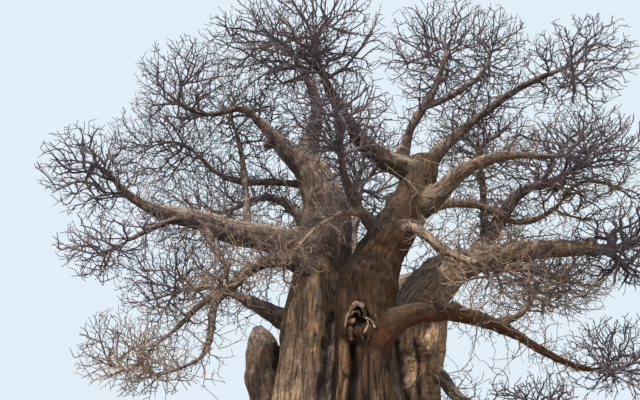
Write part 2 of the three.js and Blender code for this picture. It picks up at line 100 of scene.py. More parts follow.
BOUGHS = {
    "leaning_bough": dict(foot=(-0.02, -1.95, 3.3), length=7.25, heading=(60, 5, 14, 16, 24),
         rise=(88, 74, 54, 59, 80), diameter=(1.35, 1.5, 1.5, 1.4, 1.0)),
    "crown_left_bough": dict(parent="leaning_bough", at=0.92, length=6.15,
         heading=(-176, -157, -137, -134, -108), rise=(18, 21, 38, 44, 52),
         diameter=(0.82, 0.7, 0.5, 0.4, 0.25)),
    "crown_middle_bough": dict(parent="crown_left_bough", at=0.1, length=5.6,
         heading=(-24, -23, 6, 21, 16), rise=(102, 66, 55, 68, 71),
         diameter=(0.43, 0.37, 0.31, 0.26, 0.2)),
    "crown_middle_fork": dict(parent="crown_middle_bough", at=0.5, length=4.0,
         heading=(14, 15, 19, 23), rise=(23, 34, 40, 60), diameter=(0.28, 0.24, 0.21, 0.16)),
    "crown_right_bough": dict(parent="leaning_bough", at=0.95, length=6.55,
         heading=(1, 8, -25, -18), rise=(51, 42, 31, 13), diameter=(0.62, 0.37, 0.3, 0.2)),
    "right_fork_bough": dict(parent="leaning_bough", at=0.72, length=6.1,
         heading=(-20, -42, 0, 24, 6), rise=(-1, 39, 22, 9, 1),
         diameter=(0.9, 0.62, 0.42, 0.3, 0.2)),
    "slender_bough": dict(parent="leaning_bough", at=0.48, length=4.4,
         heading=(-123, -141, -123, -97), rise=(29, 35, 66, 58),
         diameter=(0.56, 0.38, 0.29, 0.23)),
    "drooping_bough": dict(parent="slender_bough", at=0.33, length=4.0,
         heading=(-142, -141, -129, -139), rise=(2, -31, -40, -57),
         diameter=(0.23, 0.19, 0.15, 0.1)),
    "front_right_bough": dict(parent="leaning_bough", at=0.56, length=3.55,
         heading=(-57, -44, -23), rise=(4, -47, -24), diameter=(0.52, 0.36, 0.22)),
    "right_light_bough": dict(parent="leaning_bough", at=0.6, length=8.75,
         heading=(32, 24, 18, 37, -3, -44), rise=(26, 30, 0, -17, 20, 54),
         diameter=(0.42, 0.38, 0.33, 0.28, 0.23, 0.16)),
    "great_left_upright": dict(foot=(-1.3, 0.62, 5.4), length=5.8, heading=(154, 155, 159, 165),
         rise=(97, 97, 72, 54), diameter=(1.75, 1.65, 1.5, 1.25)),
    "kinked_left_bough": dict(parent="great_left_upright", at=0.84, length=6.65,
         heading=(-161, -166, -175, -180, -179, -185, -158, -138),
         rise=(40, 41, 46, 49, 47, -19, -17, 19),
         diameter=(0.9, 0.78, 0.62, 0.45, 0.32, 0.27, 0.23, 0.18)),
    "tall_left_bough": dict(parent="great_left_upright", at=0.94, length=5.65,
         heading=(179, 178, 178, 174, 170), rise=(84, 111, 85, 65, 64),
         diameter=(0.9, 0.72, 0.48, 0.36, 0.26)),
    "left_middle_bough": dict(parent="great_left_upright", at=0.78, length=7.25,
         heading=(127, 161, 179, 167, 150, 141), rise=(6, 15, -2, 26, 46, 41),
         diameter=(0.42, 0.35, 0.31, 0.27, 0.22, 0.17)),
    "left_great_bough": dict(foot=(-1.5, 0.35, 6.5), length=8.45,
         heading=(-150, -165, -178, -175, -176, -155, -140), rise=(23, 17, 7, 23, 7, 24, 45),
         diameter=(1.2, 1.06, 0.98, 0.86, 0.68, 0.43, 0.22)),
    "left_great_fork": dict(parent="left_great_bough", at=0.62, length=3.25,
         heading=(-134, -130, -126), rise=(-22, -34, -41), diameter=(0.26, 0.2, 0.14)),
    "left_inner_upright": dict(parent="left_great_bough", at=0.34, length=6.25,
         heading=(97, 114, 138, 140), rise=(64, 71, 74, 61), diameter=(0.34, 0.29, 0.25, 0.17)),
    "left_hanging_bough": dict(parent="left_great_bough", at=0.54, length=3.5,
         heading=(-56, -56, -69), rise=(-57, -37, -30), diameter=(0.32, 0.28, 0.2)),
    "left_low_bough": dict(foot=(-1.7, -0.2, 6.0), length=4.5,
         heading=(-150, -153, -141, -141, -136), rise=(19, 3, -34, -47, -41),
         diameter=(0.76, 0.6, 0.47, 0.39, 0.31)),
    "left_low_drop": dict(parent="left_low_bough", at=0.97, length=3.3,
         heading=(-105, -80, -100, -140, -150), rise=(-60, -68, -60, -23, -18),
         diameter=(0.28, 0.24, 0.21, 0.17, 0.12)),
    "left_low_reach": dict(parent="left_low_bough", at=0.88, length=3.5,
         heading=(-179, -168, -168, -162), rise=(-13, -52, -40, -56),
         diameter=(0.3, 0.24, 0.18, 0.12)),
    "left_shaded_bough": dict(foot=(-1.8, 1.05, 3.9), length=5.6, heading=(169, 160, 157, 157),
         rise=(27, 26, 25, -9), diameter=(0.9, 0.64, 0.36, 0.21)),
    "right_low_bough": dict(foot=(0.2, -2.2, 3.1), length=10.0,
         heading=(-6, 16, 24, 25, 21, 14, 3), rise=(54, 17, -5, -13, -27, -22, 6),
         diameter=(0.95, 0.7, 0.57, 0.44, 0.34, 0.24, 0.17)),
    "right_low_fork": dict(parent="right_low_bough", at=0.52, length=2.7,
         heading=(30, 19, 31, 40), rise=(17, 18, 43, 53), diameter=(0.32, 0.27, 0.23, 0.19)),
    "right_great_bough": dict(foot=(2.0, 0.62, 4.3), length=8.0, heading=(0, -5, -7, -9, -8, -5),
         rise=(59, 46, 16, 9, 0, -6), diameter=(1.45, 1.25, 0.97, 0.82, 0.72, 0.5)),
    "right_inner_bough": dict(parent="right_great_bough", at=0.42, length=5.05,
         heading=(24, 19, 3, -19), rise=(48, 50, 56, 0), diameter=(0.62, 0.56, 0.51, 0.38)),
    "right_ground_bough": dict(foot=(2.0, 0.3, 2.9), length=4.7, heading=(-6, -60, -54, -42),
         rise=(-28, -48, -10, 8), diameter=(0.62, 0.44, 0.33, 0.19)),
    "rear_left_bough": dict(foot=(-0.7, 1.9, 4.7), length=10.2, heading=(168, 162, 114, 133, 160),
         rise=(77, 71, 40, 27, -25), diameter=(1.15, 0.8, 0.57, 0.42, 0.3)),
    "rear_middle_bough": dict(foot=(0.0, 2.3, 4.9), length=9.0, heading=(95, 88, 70, 85),
         rise=(60, 56, 48, 58), diameter=(1.3, 0.9, 0.6, 0.36)),
    "rear_right_bough": dict(foot=(0.5, 1.9, 4.7), length=10.8, heading=(29, 22, 19, 20, 21),
         rise=(45, 20, 14, -2, -11), diameter=(1.2, 0.85, 0.56, 0.4, 0.24)),
    "rear_right_upright": dict(parent="rear_right_bough", at=0.62, length=6.05,
         heading=(43, 45, 48, 45), rise=(82, 78, 87, 95), diameter=(0.46, 0.4, 0.33, 0.24)),
}
WALK_STEPS = 36
GROUND_DEPTH = 0.4
FLARE_HEIGHT = 0.75


def along(stations, share):
    """Values read off evenly spaced stations, at shares of the way between nought and one."""
    return np.interp(np.asarray(share) * (len(stations) - 1), range(len(stations)), stations)


def bearing(heading, rise):
    """Unit vectors at headings and rises in degrees."""
    heading = np.radians(heading)
    rise = np.radians(rise)
    return np.stack([np.cos(rise) * np.cos(heading), np.cos(rise) * np.sin(heading), np.sin(rise)], -1)


def walk(row, start, more=0.0):
    """A limb's path in even steps from its start, turning as its stations say."""
    share = (np.arange(WALK_STEPS) + 0.5) / WALK_STEPS
    ahead = bearing(along(row["heading"], share), along(row["rise"], share))
    steps = ahead * ((row["length"] + more) / WALK_STEPS)
    return np.vstack([start, start + np.cumsum(steps, axis=0)])


def on_path(path, share):
    """Points at shares of the way along a path."""
    place = np.clip(share, 0, 1) * WALK_STEPS
    return np.stack([np.interp(place, range(WALK_STEPS + 1), path[:, axis]) for axis in range(3)], -1)


def stem_path(row):
    """A stem's path, which starts in the ground."""
    return walk(row, np.array([*row["foot"], -GROUND_DEPTH]), GROUND_DEPTH)


def flare_of(row, share):
    """How much wider a stem is for its root flare."""
    height = np.maximum(0, share * (row["length"] + GROUND_DEPTH) - GROUND_DEPTH)
    return 1 + row["flare"] * np.exp(-height / FLARE_HEIGHT)


def half_widths(row):
    """A limb's radius at every step of its path."""
    return along(row["diameter"], np.linspace(0, 1, WALK_STEPS + 1)) / 2


paths = {}
for name, row in BOUGHS.items():
    start = on_path(paths[row["parent"]], row["at"]) if "parent" in row else np.array(row["foot"])
    paths[name] = walk(row, start)

# The bark's skin starts as one tube a limb. A bough swells into a collar where it leaves the
# wood that carries it, its section is a little uneven, and its far end is rounded off.
TUBE_STEP = 0.14
STEM_SIDES = 56
BOUGH_SIDES = 28
TOP_FROM = 0.9
TOP_LENGTH = 0.1
TOP_NARROWS = 0.45
COLLAR = 0.32
COLLAR_FULL = 1.1
COLLAR_FADE = 0.55
UNEVEN = 0.07
UNEVEN_LENGTH = 1.2
UNEVEN_SEED = 40
DOME_RINGS = 4
DOME_HEIGHT = 0.7
DOME_END = 0.12


def hashed(cells, seed):
    """An even random number between -1 and 1 for each whole-numbered cell."""
    stirred = cells[..., 0] * 73856093 ^ cells[..., 1] * 19349663 ^ cells[..., 2] * 83492791
    stirred = (stirred + seed * 7919) & 0xFFFFFFFF
    for shift, factor in ((16, 0x45D9F3B), (15, 0x2C1B3C6D), (16, 1)):
        stirred = ((stirred ^ (stirred >> shift)) * factor) & 0xFFFFFFFF
    return stirred / 2**31 - 1


def uneven(points, size, seed):
    """Smooth random values between -1 and 1 whose swells are about size across."""
    scaled = points / np.asarray(size)
    cells = np.floor(scaled).astype(np.int64)
    part = scaled - cells
    part = part * part * (3 - 2 * part)
    total = np.zeros(len(points))
    for corner in itertools.product((0, 1), repeat=3):
        weight = np.prod(np.where(corner, part, 1 - part), axis=1)
        total += weight * hashed(cells + np.array(corner), seed)
    return total


def frames_of(points):
    """Frames along a line of points that turn no more than it does: side, ahead, across."""
    ahead = np.gradient(points, axis=0)
    ahead /= np.linalg.norm(ahead, axis=1)[:, None]
    side = np.array([1.0, 0, 0] if abs(ahead[0][2]) > 0.9 else [0, 0, 1.0])
    sides = []
    for direction in ahead:
        side = side - direction * side.dot(direction)
        side = side / np.linalg.norm(side)
        sides.append(side)
    sides = np.array(sides)
    return sides, ahead, np.cross(sides, ahead)


def tube_of(points, radius, frames):
    """A closed tube whose radius is given for each ring and each side."""
    rings, count = radius.shape
    side, ahead, across = frames
    angle = np.linspace(0, 2 * math.pi, count, endpoint=False)
    spoke = side[:, None] * np.cos(angle)[None, :, None] + across[:, None] * np.sin(angle)[None, :, None]
    spots = (points[:, None] + spoke * radius[..., None]).reshape(-1, 3)
    here = np.arange(count)
    after = (here + 1) % count
    faces = []
    for ring in range(rings - 1):
        low = ring * count
        high = low + count
        faces += np.stack([low + here, high + here, high + after, low + after], -1).tolist()
    faces.append(here.tolist())
    faces.append(((rings - 1) * count + here)[::-1].tolist())
    return spots, faces


skin = {key: [] for key in ("spots", "faces", "ring")}
rings = {key: [] for key in ("at", "side", "ahead", "across", "way", "radius", "limb", "cut")}
limb_names = [f"stem_{i}" for i in range(len(STEMS))] + list(BOUGHS)


def add_limb(limb, points, way, radius, cut=0.0):
    """Adds one limb's tube to the skin, and its rings to the list that places the relief. Cut
    says how much of a broken end's bare wood shows on each ring."""
    frames = frames_of(points)
    spots, faces = tube_of(points, radius, frames)
    first_spot = sum(len(part) for part in skin["spots"])
    first_ring = sum(len(part) for part in rings["at"])
    skin["spots"].append(spots)
    skin["faces"] += [[first_spot + i for i in face] for face in faces]
    skin["ring"].append(first_ring + np.repeat(np.arange(len(points)), radius.shape[1]))
    for key, values in zip(("at", "side", "ahead", "across"), (points, *frames)):
        rings[key].append(values)
    rings["way"].append(way)
    rings["radius"].append(radius.mean(axis=1))
    rings["limb"].append(np.full(len(points), limb))
    rings["cut"].append(np.broadcast_to(cut, len(points)))


for limb, row in enumerate(STEMS):
    path = stem_path(row)
    whole = row["length"] + GROUND_DEPTH
    share = np.linspace(0, 1, math.ceil(whole / TUBE_STEP) + 1)
    angle = np.linspace(0, 2 * math.pi, STEM_SIDES, endpoint=False)
    flare = flare_of(row, share)[:, None]
    lobe = row["depth"] * np.cos(row["lobes"] * angle + math.radians(row["turn"]))[None, :]
    narrowed = 1 - TOP_NARROWS * np.clip((share - TOP_FROM) / TOP_LENGTH, 0, 1)[:, None] ** 2
    radius = along(row["diameter"], share)[:, None] / 2 * flare * (1 + lobe * flare) * narrowed
    add_limb(limb, on_path(path, share), share * whole, radius)


def sunk_length(name):
    """How far along a bough still lies inside the wood that it grows from."""
    earlier = itertools.takewhile(lambda item: item[0] != name, BOUGHS.items())
    held = [(stem_path(row), half_widths(row)) for row in STEMS]
    held += [(paths[other], half_widths(row)) for other, row in earlier]
    for i, point in enumerate(paths[name]):
        if all((np.linalg.norm(line - point, axis=1) > radii).all() for line, radii in held):
            return BOUGHS[name]["length"] * i / WALK_STEPS
    return 0.0


for limb, (name, row) in enumerate(BOUGHS.items(), start=len(STEMS)):
    share = np.linspace(0, 1, math.ceil(row["length"] / TUBE_STEP) + 1)
    way = share * row["length"]
    points = on_path(paths[name], share)
    plain = along(row["diameter"], share) / 2
    past = np.maximum(0, way - sunk_length(name))
    swollen = COLLAR * min(1, row["diameter"][0] / COLLAR_FULL) ** 1.5
    collar = 1 + swollen * np.exp(-past / (COLLAR_FADE * row["diameter"][0]))
    angle = np.linspace(0, 2 * math.pi, BOUGH_SIDES, endpoint=False)
    around = np.stack(np.broadcast_arrays(np.cos(angle)[None, :], np.sin(angle)[None, :],
                                          way[:, None] / (UNEVEN_LENGTH * row["diameter"][0])), -1)
    swell = uneven(around.reshape(-1, 3), 1.0, limb + UNEVEN_SEED).reshape(around.shape[:2])
    radius = (plain * collar)[:, None] * (1 + UNEVEN * swell)
    turn = np.linspace(0, math.pi / 2, DOME_RINGS + 1)[1:]
    tip = points[-1] - points[-2]
    tip = tip / np.linalg.norm(tip)
    domed = DOME_HEIGHT * plain[-1] * np.sin(turn)
    radius = np.vstack([radius, radius[-1] * np.maximum(DOME_END, np.cos(turn))[:, None]])
    points = np.vstack([points, points[-1] + tip * domed[:, None]])
    add_limb(limb, points, np.concatenate([way, way[-1] + domed]), radius)

# Stubs and knobs, where limbs broke off long ago and the bark has grown round the old wood.
# Some stand where the picture shows them, and each bough has a few more along it.
STUB_KEYS = ("on", "at", "heading", "rise", "out", "diameter", "bare")
SHOWN_STUBS = [
    ("leaning_bough", 0.96, -165, -8, 0.34, 0.5, 0.9),
    ("crown_middle_bough", 0.13, -160, 10, 0.14, 0.42, 0.8),
    ("leaning_bough", 0.62, -20, -5, 0.2, 0.42, 0.6),
    ("leaning_bough", 0.72, 175, 20, 0.14, 0.5, 0.3),
    ("great_left_upright", 0.3, 180, 20, 0.3, 0.6, 0.8),
    ("great_left_upright", 0.82, -60, 30, 0.1, 0.5, 0.4),
    ("kinked_left_bough", 0.34, 170, -45, 0.35, 0.4, 0.9),
    ("left_great_bough", 0.2, 90, 70, 0.25, 0.42, 0.8),
    ("right_low_bough", 0.34, 0, 60, 0.14, 0.36, 0.5),
    ("right_great_bough", 0.97, 30, 60, 0.2, 0.5, 0.4),
]
stubs = [dict(zip(STUB_KEYS, row)) for row in SHOWN_STUBS]
KNOB_STRETCH = (0.12, 0.9)
KNOB_SPACING = 1.0
KNOB_SHIFT = 0.03
KNOB_WIDTHS = (0.3, 0.55)
KNOB_OUT = (0.02, 0.08)
KNOB_LEAST = 0.14
BARE_KNOBS = 0.3
knob_rolls = np.random.default_rng(5)
for name, row in BOUGHS.items():
    for share in np.arange(*KNOB_STRETCH, KNOB_SPACING / row["length"]):
        share += knob_rolls.uniform(-KNOB_SHIFT, KNOB_SHIFT)
        thickness = float(along(row["diameter"], share))
        stubs.append({"on": name, "at": share, "heading": knob_rolls.uniform(-180, 180),
                      "rise": knob_rolls.uniform(-50, 70), "out": knob_rolls.uniform(*KNOB_OUT),
                      "diameter": max(KNOB_LEAST, thickness * knob_rolls.uniform(*KNOB_WIDTHS)),
                      "bare": 0.5 * float(knob_rolls.random() < BARE_KNOBS)})
STUB_STEP = 0.05
stub_rolls = np.random.default_rng(6)
for stub in stubs:
    row = BOUGHS[stub["on"]]
    out = stub["out"]
    start = on_path(paths[stub["on"]], stub["at"])
    inside = float(along(row["diameter"], stub["at"])) / 2
    length = inside + out
    share = np.linspace(0, 1, max(8, math.ceil(length / STUB_STEP)) + 1)
    points = start + bearing(stub["heading"], stub["rise"]) * (share * length)[:, None]
    past = share * length - inside
    rounded = np.interp(past, (-inside, 0, 0.5 * out, 0.85 * out, out), (1.1, 1.15, 1.0, 0.7, 0.35))
    ragged = stub_rolls.uniform(0.8, 1.15, BOUGH_SIDES // 4).repeat(4)
    radius = (stub["diameter"] / 2 * rounded)[:, None] * ragged
    cut = stub["bare"] * np.clip(past / out, 0, 1) ** 2
    add_limb(limb_names.index(stub["on"]), points, share * length, radius, cut)

# The skin: all tubes joined and remeshed into one closed surface, cut flat at the ground, and
# rubbed smooth so that the limbs flow into each other.
SKIN_GRAIN = 0.043
SMOOTHING = 6
SMOOTHED = 0.5


def mesh_of(name, spots, faces=(), edges=()):
    mesh = bpy.data.meshes.new(name)
    mesh.from_pydata([tuple(spot) for spot in spots], list(edges), list(faces))
    mesh.update()
    return mesh


def object_of(name, mesh):
    made = bpy.data.objects.new(name, mesh)
    bpy.context.scene.collection.objects.link(made)
    return made


def finished(source, name):
    """What an object's modifiers make of it, as a plain mesh. The object itself goes."""
    bpy.context.view_layer.update()
    graph = bpy.context.evaluated_depsgraph_get()
    mesh = bpy.data.meshes.new_from_object(source.evaluated_get(graph))
    mesh.name = name
    old = source.data
    bpy.data.objects.remove(source)
    if old.users == 0:
        bpy.data.meshes.remove(old)
    return mesh


raw = object_of("raw_skin", mesh_of("raw_skin", np.vstack(skin["spots"]), skin["faces"]))
remesh = raw.modifiers.new("joined", "REMESH")
remesh.mode = "VOXEL"
remesh.voxel_size = SKIN_GRAIN
remesh.use_smooth_shade = True
joined = finished(raw, "joined_skin")

shell = bmesh.new()
shell.from_mesh(joined)
everything = shell.verts[:] + shell.edges[:] + shell.faces[:]
bmesh.ops.bisect_plane(shell, geom=everything, plane_co=(0, 0, 0), plane_no=(0, 0, 1),
                       clear_inner=True, dist=1e-4)
bmesh.ops.triangulate(shell, faces=shell.faces)
shell.to_mesh(joined)
shell.free()

spots = np.empty(len(joined.vertices) * 3)
joined.vertices.foreach_get("co", spots)
spots = spots.reshape(-1, 3)
triangles = np.empty(len(joined.polygons) * 3, dtype=np.int64)
joined.polygons.foreach_get("vertices", triangles)
triangles = triangles.reshape(-1, 3)
bpy.data.meshes.remove(joined)
edges = np.vstack([triangles[:, [0, 1]], triangles[:, [1, 2]], triangles[:, [2, 0]]])
edges = np.unique(np.sort(edges, axis=1), axis=0)
neighbours = np.bincount(edges.ravel(), minlength=len(spots))[:, None]


def averaged(values):
    """The mean of each spot's neighbours."""
    flat = values.reshape(len(values), -1)
    total = np.stack([
        np.bincount(edges[:, 0], column[edges[:, 1]], len(values))
        + np.bincount(edges[:, 1], column[edges[:, 0]], len(values))
        for column in flat.T
    ], -1)
    return (total / neighbours).reshape(values.shape)


def normals_of(points):
    """The outward direction at each spot."""
    a, b, c = (points[triangles[:, k]] for k in range(3))
    facing = np.cross(b - a, c - a)
    total = np.stack([
        sum(np.bincount(triangles[:, k], facing[:, axis], len(points)) for k in range(3))
        for axis in range(3)
    ], -1)
    return total / np.maximum(np.linalg.norm(total, axis=1), 1e-12)[:, None]


on_ground = spots[:, 2] < 1e-3
for _ in range(SMOOTHING):
    spots += SMOOTHED * (averaged(spots) - spots)
    spots[on_ground, 2] = 0

# Where each spot of the skin lies on its limb: round it, across it and along it. The bark's
# folds and grain follow the limb by these.
SWELL_SHIFT = 5.7
GRAIN_SHIFT = 7.3
tube_spots = np.vstack(skin["spots"])
tube_rings = np.concatenate(skin["ring"])
for key, parts in rings.items():
    rings[key] = np.concatenate(parts)
finder = kdtree.KDTree(len(tube_spots))
for i, spot in enumerate(tube_spots):
    finder.insert(spot, i)
finder.balance()
ring = tube_rings[[finder.find(spot)[1] for spot in spots]]
limb = rings["limb"][ring]
offset = spots - rings["at"][ring]
side, across, onward = (
    np.einsum("ij,ij->i", offset, rings[key][ring]) for key in ("side", "across", "ahead")
)
way = rings["way"][ring] + onward
thick = rings["radius"][ring]
angle = np.arctan2(across, side)
grain = np.stack([side, across, way], -1) + limb[:, None] * GRAIN_SHIFT
wheel = np.stack([np.cos(angle), np.sin(angle)], -1)


def on_limb(turns, reach, seed):
    """Swells that follow a limb: so many round it, and reach metres long."""
    place = np.column_stack([wheel * turns, way / reach]) + limb[:, None] * SWELL_SHIFT
    return uneven(place, 1.0, seed)


def ramp(values, low, high):
    """Values stretched from the range low to high onto 0 to 1, and cut off there."""
    return np.clip((values - low) / (high - low), 0, 1)


def hump(values, width):
    """A smooth hump of height 1 round nought."""
    return np.exp(-((values / width) ** 2))


def ridges(values, least):
    """Narrow lines, 0 to 1, where smooth random values pass through nought."""
    return np.maximum(0, 1 - 2 * np.abs(values) - least) / (1 - least)


# The bark's random layers: how much each is squeezed along Z, how wide its swells are, and its
# seed. The last three say where the flakes, the wrinkles and the level wrinkles show.
LAYERS = {
    "lump": (1, 0.5, 5), "fold": (0.16, 0.36, 8), "line": (0.2, 0.19, 18), "fibre": (0.13, 0.105, 9),
    "flake": (1.5, 0.13, 15), "level": (0.5 / 0.055, 0.5, 21), "plate": (0.8, 0.42, 23),
    "crack": (5, 0.35, 25), "hollow": (1, 0.16, 13), "torn": (0.4, 0.07, 24), "strip": (2.5, 0.3, 17),
    "flaky": (1, 0.7, 16), "wrinkly": (1, 0.9, 12), "levelled": (1, 0.8, 22),
}
layer = {
    name: uneven(spots * (1, 1, squeeze), size, seed)
    for name, (squeeze, size, seed) in LAYERS.items()
}

# The relief. Thick muscle-like swells run along each limb. The trunk has deep upright folds low
# down and fibres down its face, and the limbs have fine wrinkles across them. The depths are
# metres outward, and the muscles and bulges are shares of the limb's radius.
MUSCLE_SHARE = 0.09
BULGE_SHARE = 0.18
BULGE_LIMIT = 0.5
LUMP_DEPTH = 0.03
FOLDS_FADE = 5.5
OTHER_STEMS = 0.4
TRUNK_DEPTHS = {"fibre": 0.015, "fold": -0.11, "line": -0.035, "flake": 0.016, "wrinkle": 0.006,
                "level": 0.008, "plate": 0.012}
BOUGH_DEPTHS = {"fibre": 0.012, "line": -0.018, "flake": 0.018, "wrinkle": 0.014}
x, y, z = spots.T
is_trunk = limb < len(STEMS)
front = np.where(limb == 0, 1.0, OTHER_STEMS)
detail = {
    "fibre": layer["fibre"] + 0.6 * uneven(grain * (1, 1, 0.2), 0.11, 10),
    "fold": ridges(layer["fold"], 0.55) * np.clip(1.3 - z / FOLDS_FADE, 0.15, 1),
    "line": ridges(layer["line"], 0.5),
    "flake": layer["flake"] * ramp(layer["flaky"], -0.25, 0.75),
    "wrinkle": on_limb(1.6, 0.12, 11) * ramp(layer["wrinkly"], -0.5, 0.5),
    "level": layer["level"] * ramp(layer["levelled"], -0.4, 0.6) * (limb != 0),
    "plate": np.clip(layer["plate"] * 2.2, -1, 1) * (limb != 0),
}
on_trunk = sum(depth * detail[name] * (front if name in ("fibre", "fold", "line") else 1)
               for name, depth in TRUNK_DEPTHS.items())
on_bough = sum(depth * detail[name] for name, depth in BOUGH_DEPTHS.items())
muscle = MUSCLE_SHARE * thick * on_limb(1.3, 1.9, 3) + LUMP_DEPTH * layer["lump"]
bulge = BULGE_SHARE * np.minimum(thick, BULGE_LIMIT) * ramp(on_limb(1.1, 0.42, 6), 0.2, 1.2) * ~is_trunk
relief = muscle + bulge + np.where(is_trunk, on_trunk, on_bough)

# The wound on the front stem, where a limb broke off long ago: a hollow in the bark, with a deep
# groove that runs from it to the ground. Places on the stem's face are in X and Z.
WOUND = (-0.08, 3.93)
WOUND_HALF = (0.36, 0.34)
WOUND_EDGE = 0.35
WOUND_DEPTH = 0.16
FACE_BACK = -2.0
FACE_TOP = 4.9
GROOVE = (-0.33, 3.1)
GROOVE_LEAN = 0.05
GROOVE_WAVE = 0.03
GROOVE_TOP = 3.4
GROOVE_WIDTH = 0.11
GROOVE_DEPTH = 0.26
normal = normals_of(spots)
on_front = ramp(-normal[:, 1], 0.1, 0.5) * (y < FACE_BACK) * (z < FACE_TOP)
from_wound = np.hypot((x - WOUND[0]) / WOUND_HALF[0], (z - WOUND[1]) / WOUND_HALF[1])
cavity = ramp(from_wound - WOUND_EDGE * layer["hollow"], 1, 1 - WOUND_EDGE)
groove_x = GROOVE[0] - GROOVE_LEAN * (GROOVE[1] - z) + GROOVE_WAVE * np.sin(z * 3.3)
groove = hump(x - groove_x, GROOVE_WIDTH) * ramp(z, GROOVE_TOP, GROOVE_TOP - 0.3)
relief -= on_front * (WOUND_DEPTH * cavity + GROOVE_DEPTH * groove)

# The right stem is split down its face by an upright crack. Its bark is tan, partly as painted
# sunlight, and cracked across, and rust brown to the right of the crack.
SPLIT_X = 2.03
SPLIT_TOP = 3.6
SPLIT_WAVE = 0.04
SPLIT_WIDTH = 0.07
SPLIT_DEPTH = 0.1
CRACK_DEPTH = 0.02
on_right = (limb == 2) * ramp(-normal[:, 1], 0, 0.5) * ramp(z, SPLIT_TOP, SPLIT_TOP - 0.4)
split = hump(x - SPLIT_X - SPLIT_WAVE * np.sin(z * 2.7), SPLIT_WIDTH)
cracks = np.clip(layer["crack"] * 1.5, 0, 0.65)
relief -= on_right * (SPLIT_DEPTH * split + CRACK_DEPTH * cracks)

# Colour follows marks from 0 to 1: creases, hollows, cracks and undersides are darkened as
# painted shade, torn wood is bare, upper sides are paler as painted light, and some bark is
# stained rust brown. Each limb has its own cast besides, in tan, dusky brown and mauve, with
# painted sunlight and painted shade in the casts of a few limbs.
PAINTED_SHADE_STRENGTH = {"fold": 0.6, "line": 0.35, "sunken": 0.85, "wound": 0.95, "groove": 0.9, "split": 0.85,
        "underside": 0.5}
RUSTY = {"spot": 0.42, "strip": 0.4, "split": 0.45, "below": 0.5}
BARE_WOOD = 0.85
SUNKEN_FULL = 0.02
RUST_SPOT = (0.66, 3.3)
RUST_SIZE = 0.35
STRIP_SIDE = -1.0
STRIP_TOP = 3.3
# Painted light and shade: the full tan on the right stem stands in for sunlight, and the heavy dusky brown
# on the front stem, the leaning bough and the right low bough stands in for shade.
LIMB_CASTS = {
    "stem_0": (0.0, 0.95, 0.0), "stem_1": (0.25, 0.15, 0.2), "stem_2": (1.0, 0.0, 0.0),
    "stem_5": (0.35, 0.0, 0.5), "leaning_bough": (0.0, 0.75, 0.1), "right_low_bough": (0.0, 0.85, 0.3),
    "great_left_upright": (0.1, 0.1, 0.7), "right_great_bough": (0.5, 0.0, 0.3),
    "left_great_bough": (0.1, 0.0, 0.8), "crown_left_bough": (0.15, 0.15, 0.7),
    "drooping_bough": (0.7, 0.0, 0.0), "right_light_bough": (0.6, 0.0, 0.2),
    "front_right_bough": (0.6, 0.0, 0.2), "right_fork_bough": (0.35, 0.0, 0.4),
}
OTHER_CAST = (0.1, 0.1, 0.75)
REDDENED_UNDERSIDES = ("right_low_bough", "leaning_bough")
tan, dusky, mauve = np.array([LIMB_CASTS.get(name, OTHER_CAST) for name in limb_names])[limb].T
# Painted shade: the colour darkens in folds, in hollows of the relief, in the wound and its groove, and in
# the cracks of the right stem.
sunken = averaged(averaged(averaged(relief))) - relief
folded = (PAINTED_SHADE_STRENGTH["fold"] * detail["fold"] + PAINTED_SHADE_STRENGTH["line"] * detail["line"]) * is_trunk * front ** 1.5
crevice = np.clip(np.clip(folded, 0, 1) + sunken / SUNKEN_FULL, 0, PAINTED_SHADE_STRENGTH["sunken"])
crevice = np.clip(crevice + on_front * (PAINTED_SHADE_STRENGTH["wound"] * cavity + PAINTED_SHADE_STRENGTH["groove"] * groove), 0, 1)
crevice = np.maximum(crevice, on_right * np.maximum(PAINTED_SHADE_STRENGTH["split"] * split, cracks))
# Painted shade: undersides darken the more they face down.
crevice = np.maximum(crevice, PAINTED_SHADE_STRENGTH["underside"] * np.clip(-normal[:, 2] * 1.4 - 0.1, 0, 1))
torn = rings["cut"][ring] * np.clip(0.7 + 0.9 * layer["torn"], 0, 1)
flaked = np.clip(1.6 * detail["plate"] - 0.25, 0, 1) * np.isin(limb, (1, 2))
left_strip = (on_front > 0.2) * ramp(groove_x - x, 0.1, 0.2) * (x > STRIP_SIDE) * (z < STRIP_TOP)
pale_face = on_front * ramp(x - groove_x, 0.14, 0.24) * ramp(z, 3.2, 2.7)
rusty_below = np.isin(limb, [limb_names.index(name) for name in REDDENED_UNDERSIDES])
rust = np.max([
    RUSTY["spot"] * hump(np.hypot(x - RUST_SPOT[0], z - RUST_SPOT[1]), RUST_SIZE) * (y < -1.6),
    left_strip * np.clip(0.15 + 0.4 * layer["strip"], 0, RUSTY["strip"]),
    RUSTY["split"] * on_right * hump(x - SPLIT_X - 0.3, 0.2),
    # Reddish brown on the undersides of the right low bough and the leaning bough, the more they face down.
    rusty_below * np.clip(-0.9 * normal[:, 2] - 0.1, 0, RUSTY["below"]),
], axis=0)
marks = {
    "crevice": crevice, "bare": BARE_WOOD * torn, "rust": rust, "bleached": normal[:, 2],
    "tan": np.max([tan, 0.9 * flaked, 0.6 * left_strip], axis=0),
    "dusky": dusky * (1 - 0.3 * pale_face - 0.4 * left_strip),
    "mauve": mauve * (1 - flaked) + 0.3 * pale_face,
}

# Where one limb meets the next, relief and colour are blended over a band of the skin, so that
# no line shows.
SEAM_WIDTH = 5
SEAM_ROUNDS = 8
seam = np.zeros(len(spots))
seam[edges[limb[edges[:, 0]] != limb[edges[:, 1]]].ravel()] = 1
for _ in range(SEAM_WIDTH):
    seam = np.maximum(seam, averaged(seam) > 0)
for _ in range(SEAM_ROUNDS):
    relief += seam * (averaged(relief) - relief)
    for key, values in marks.items():
        marks[key] = values + seam * (averaged(values) - values)
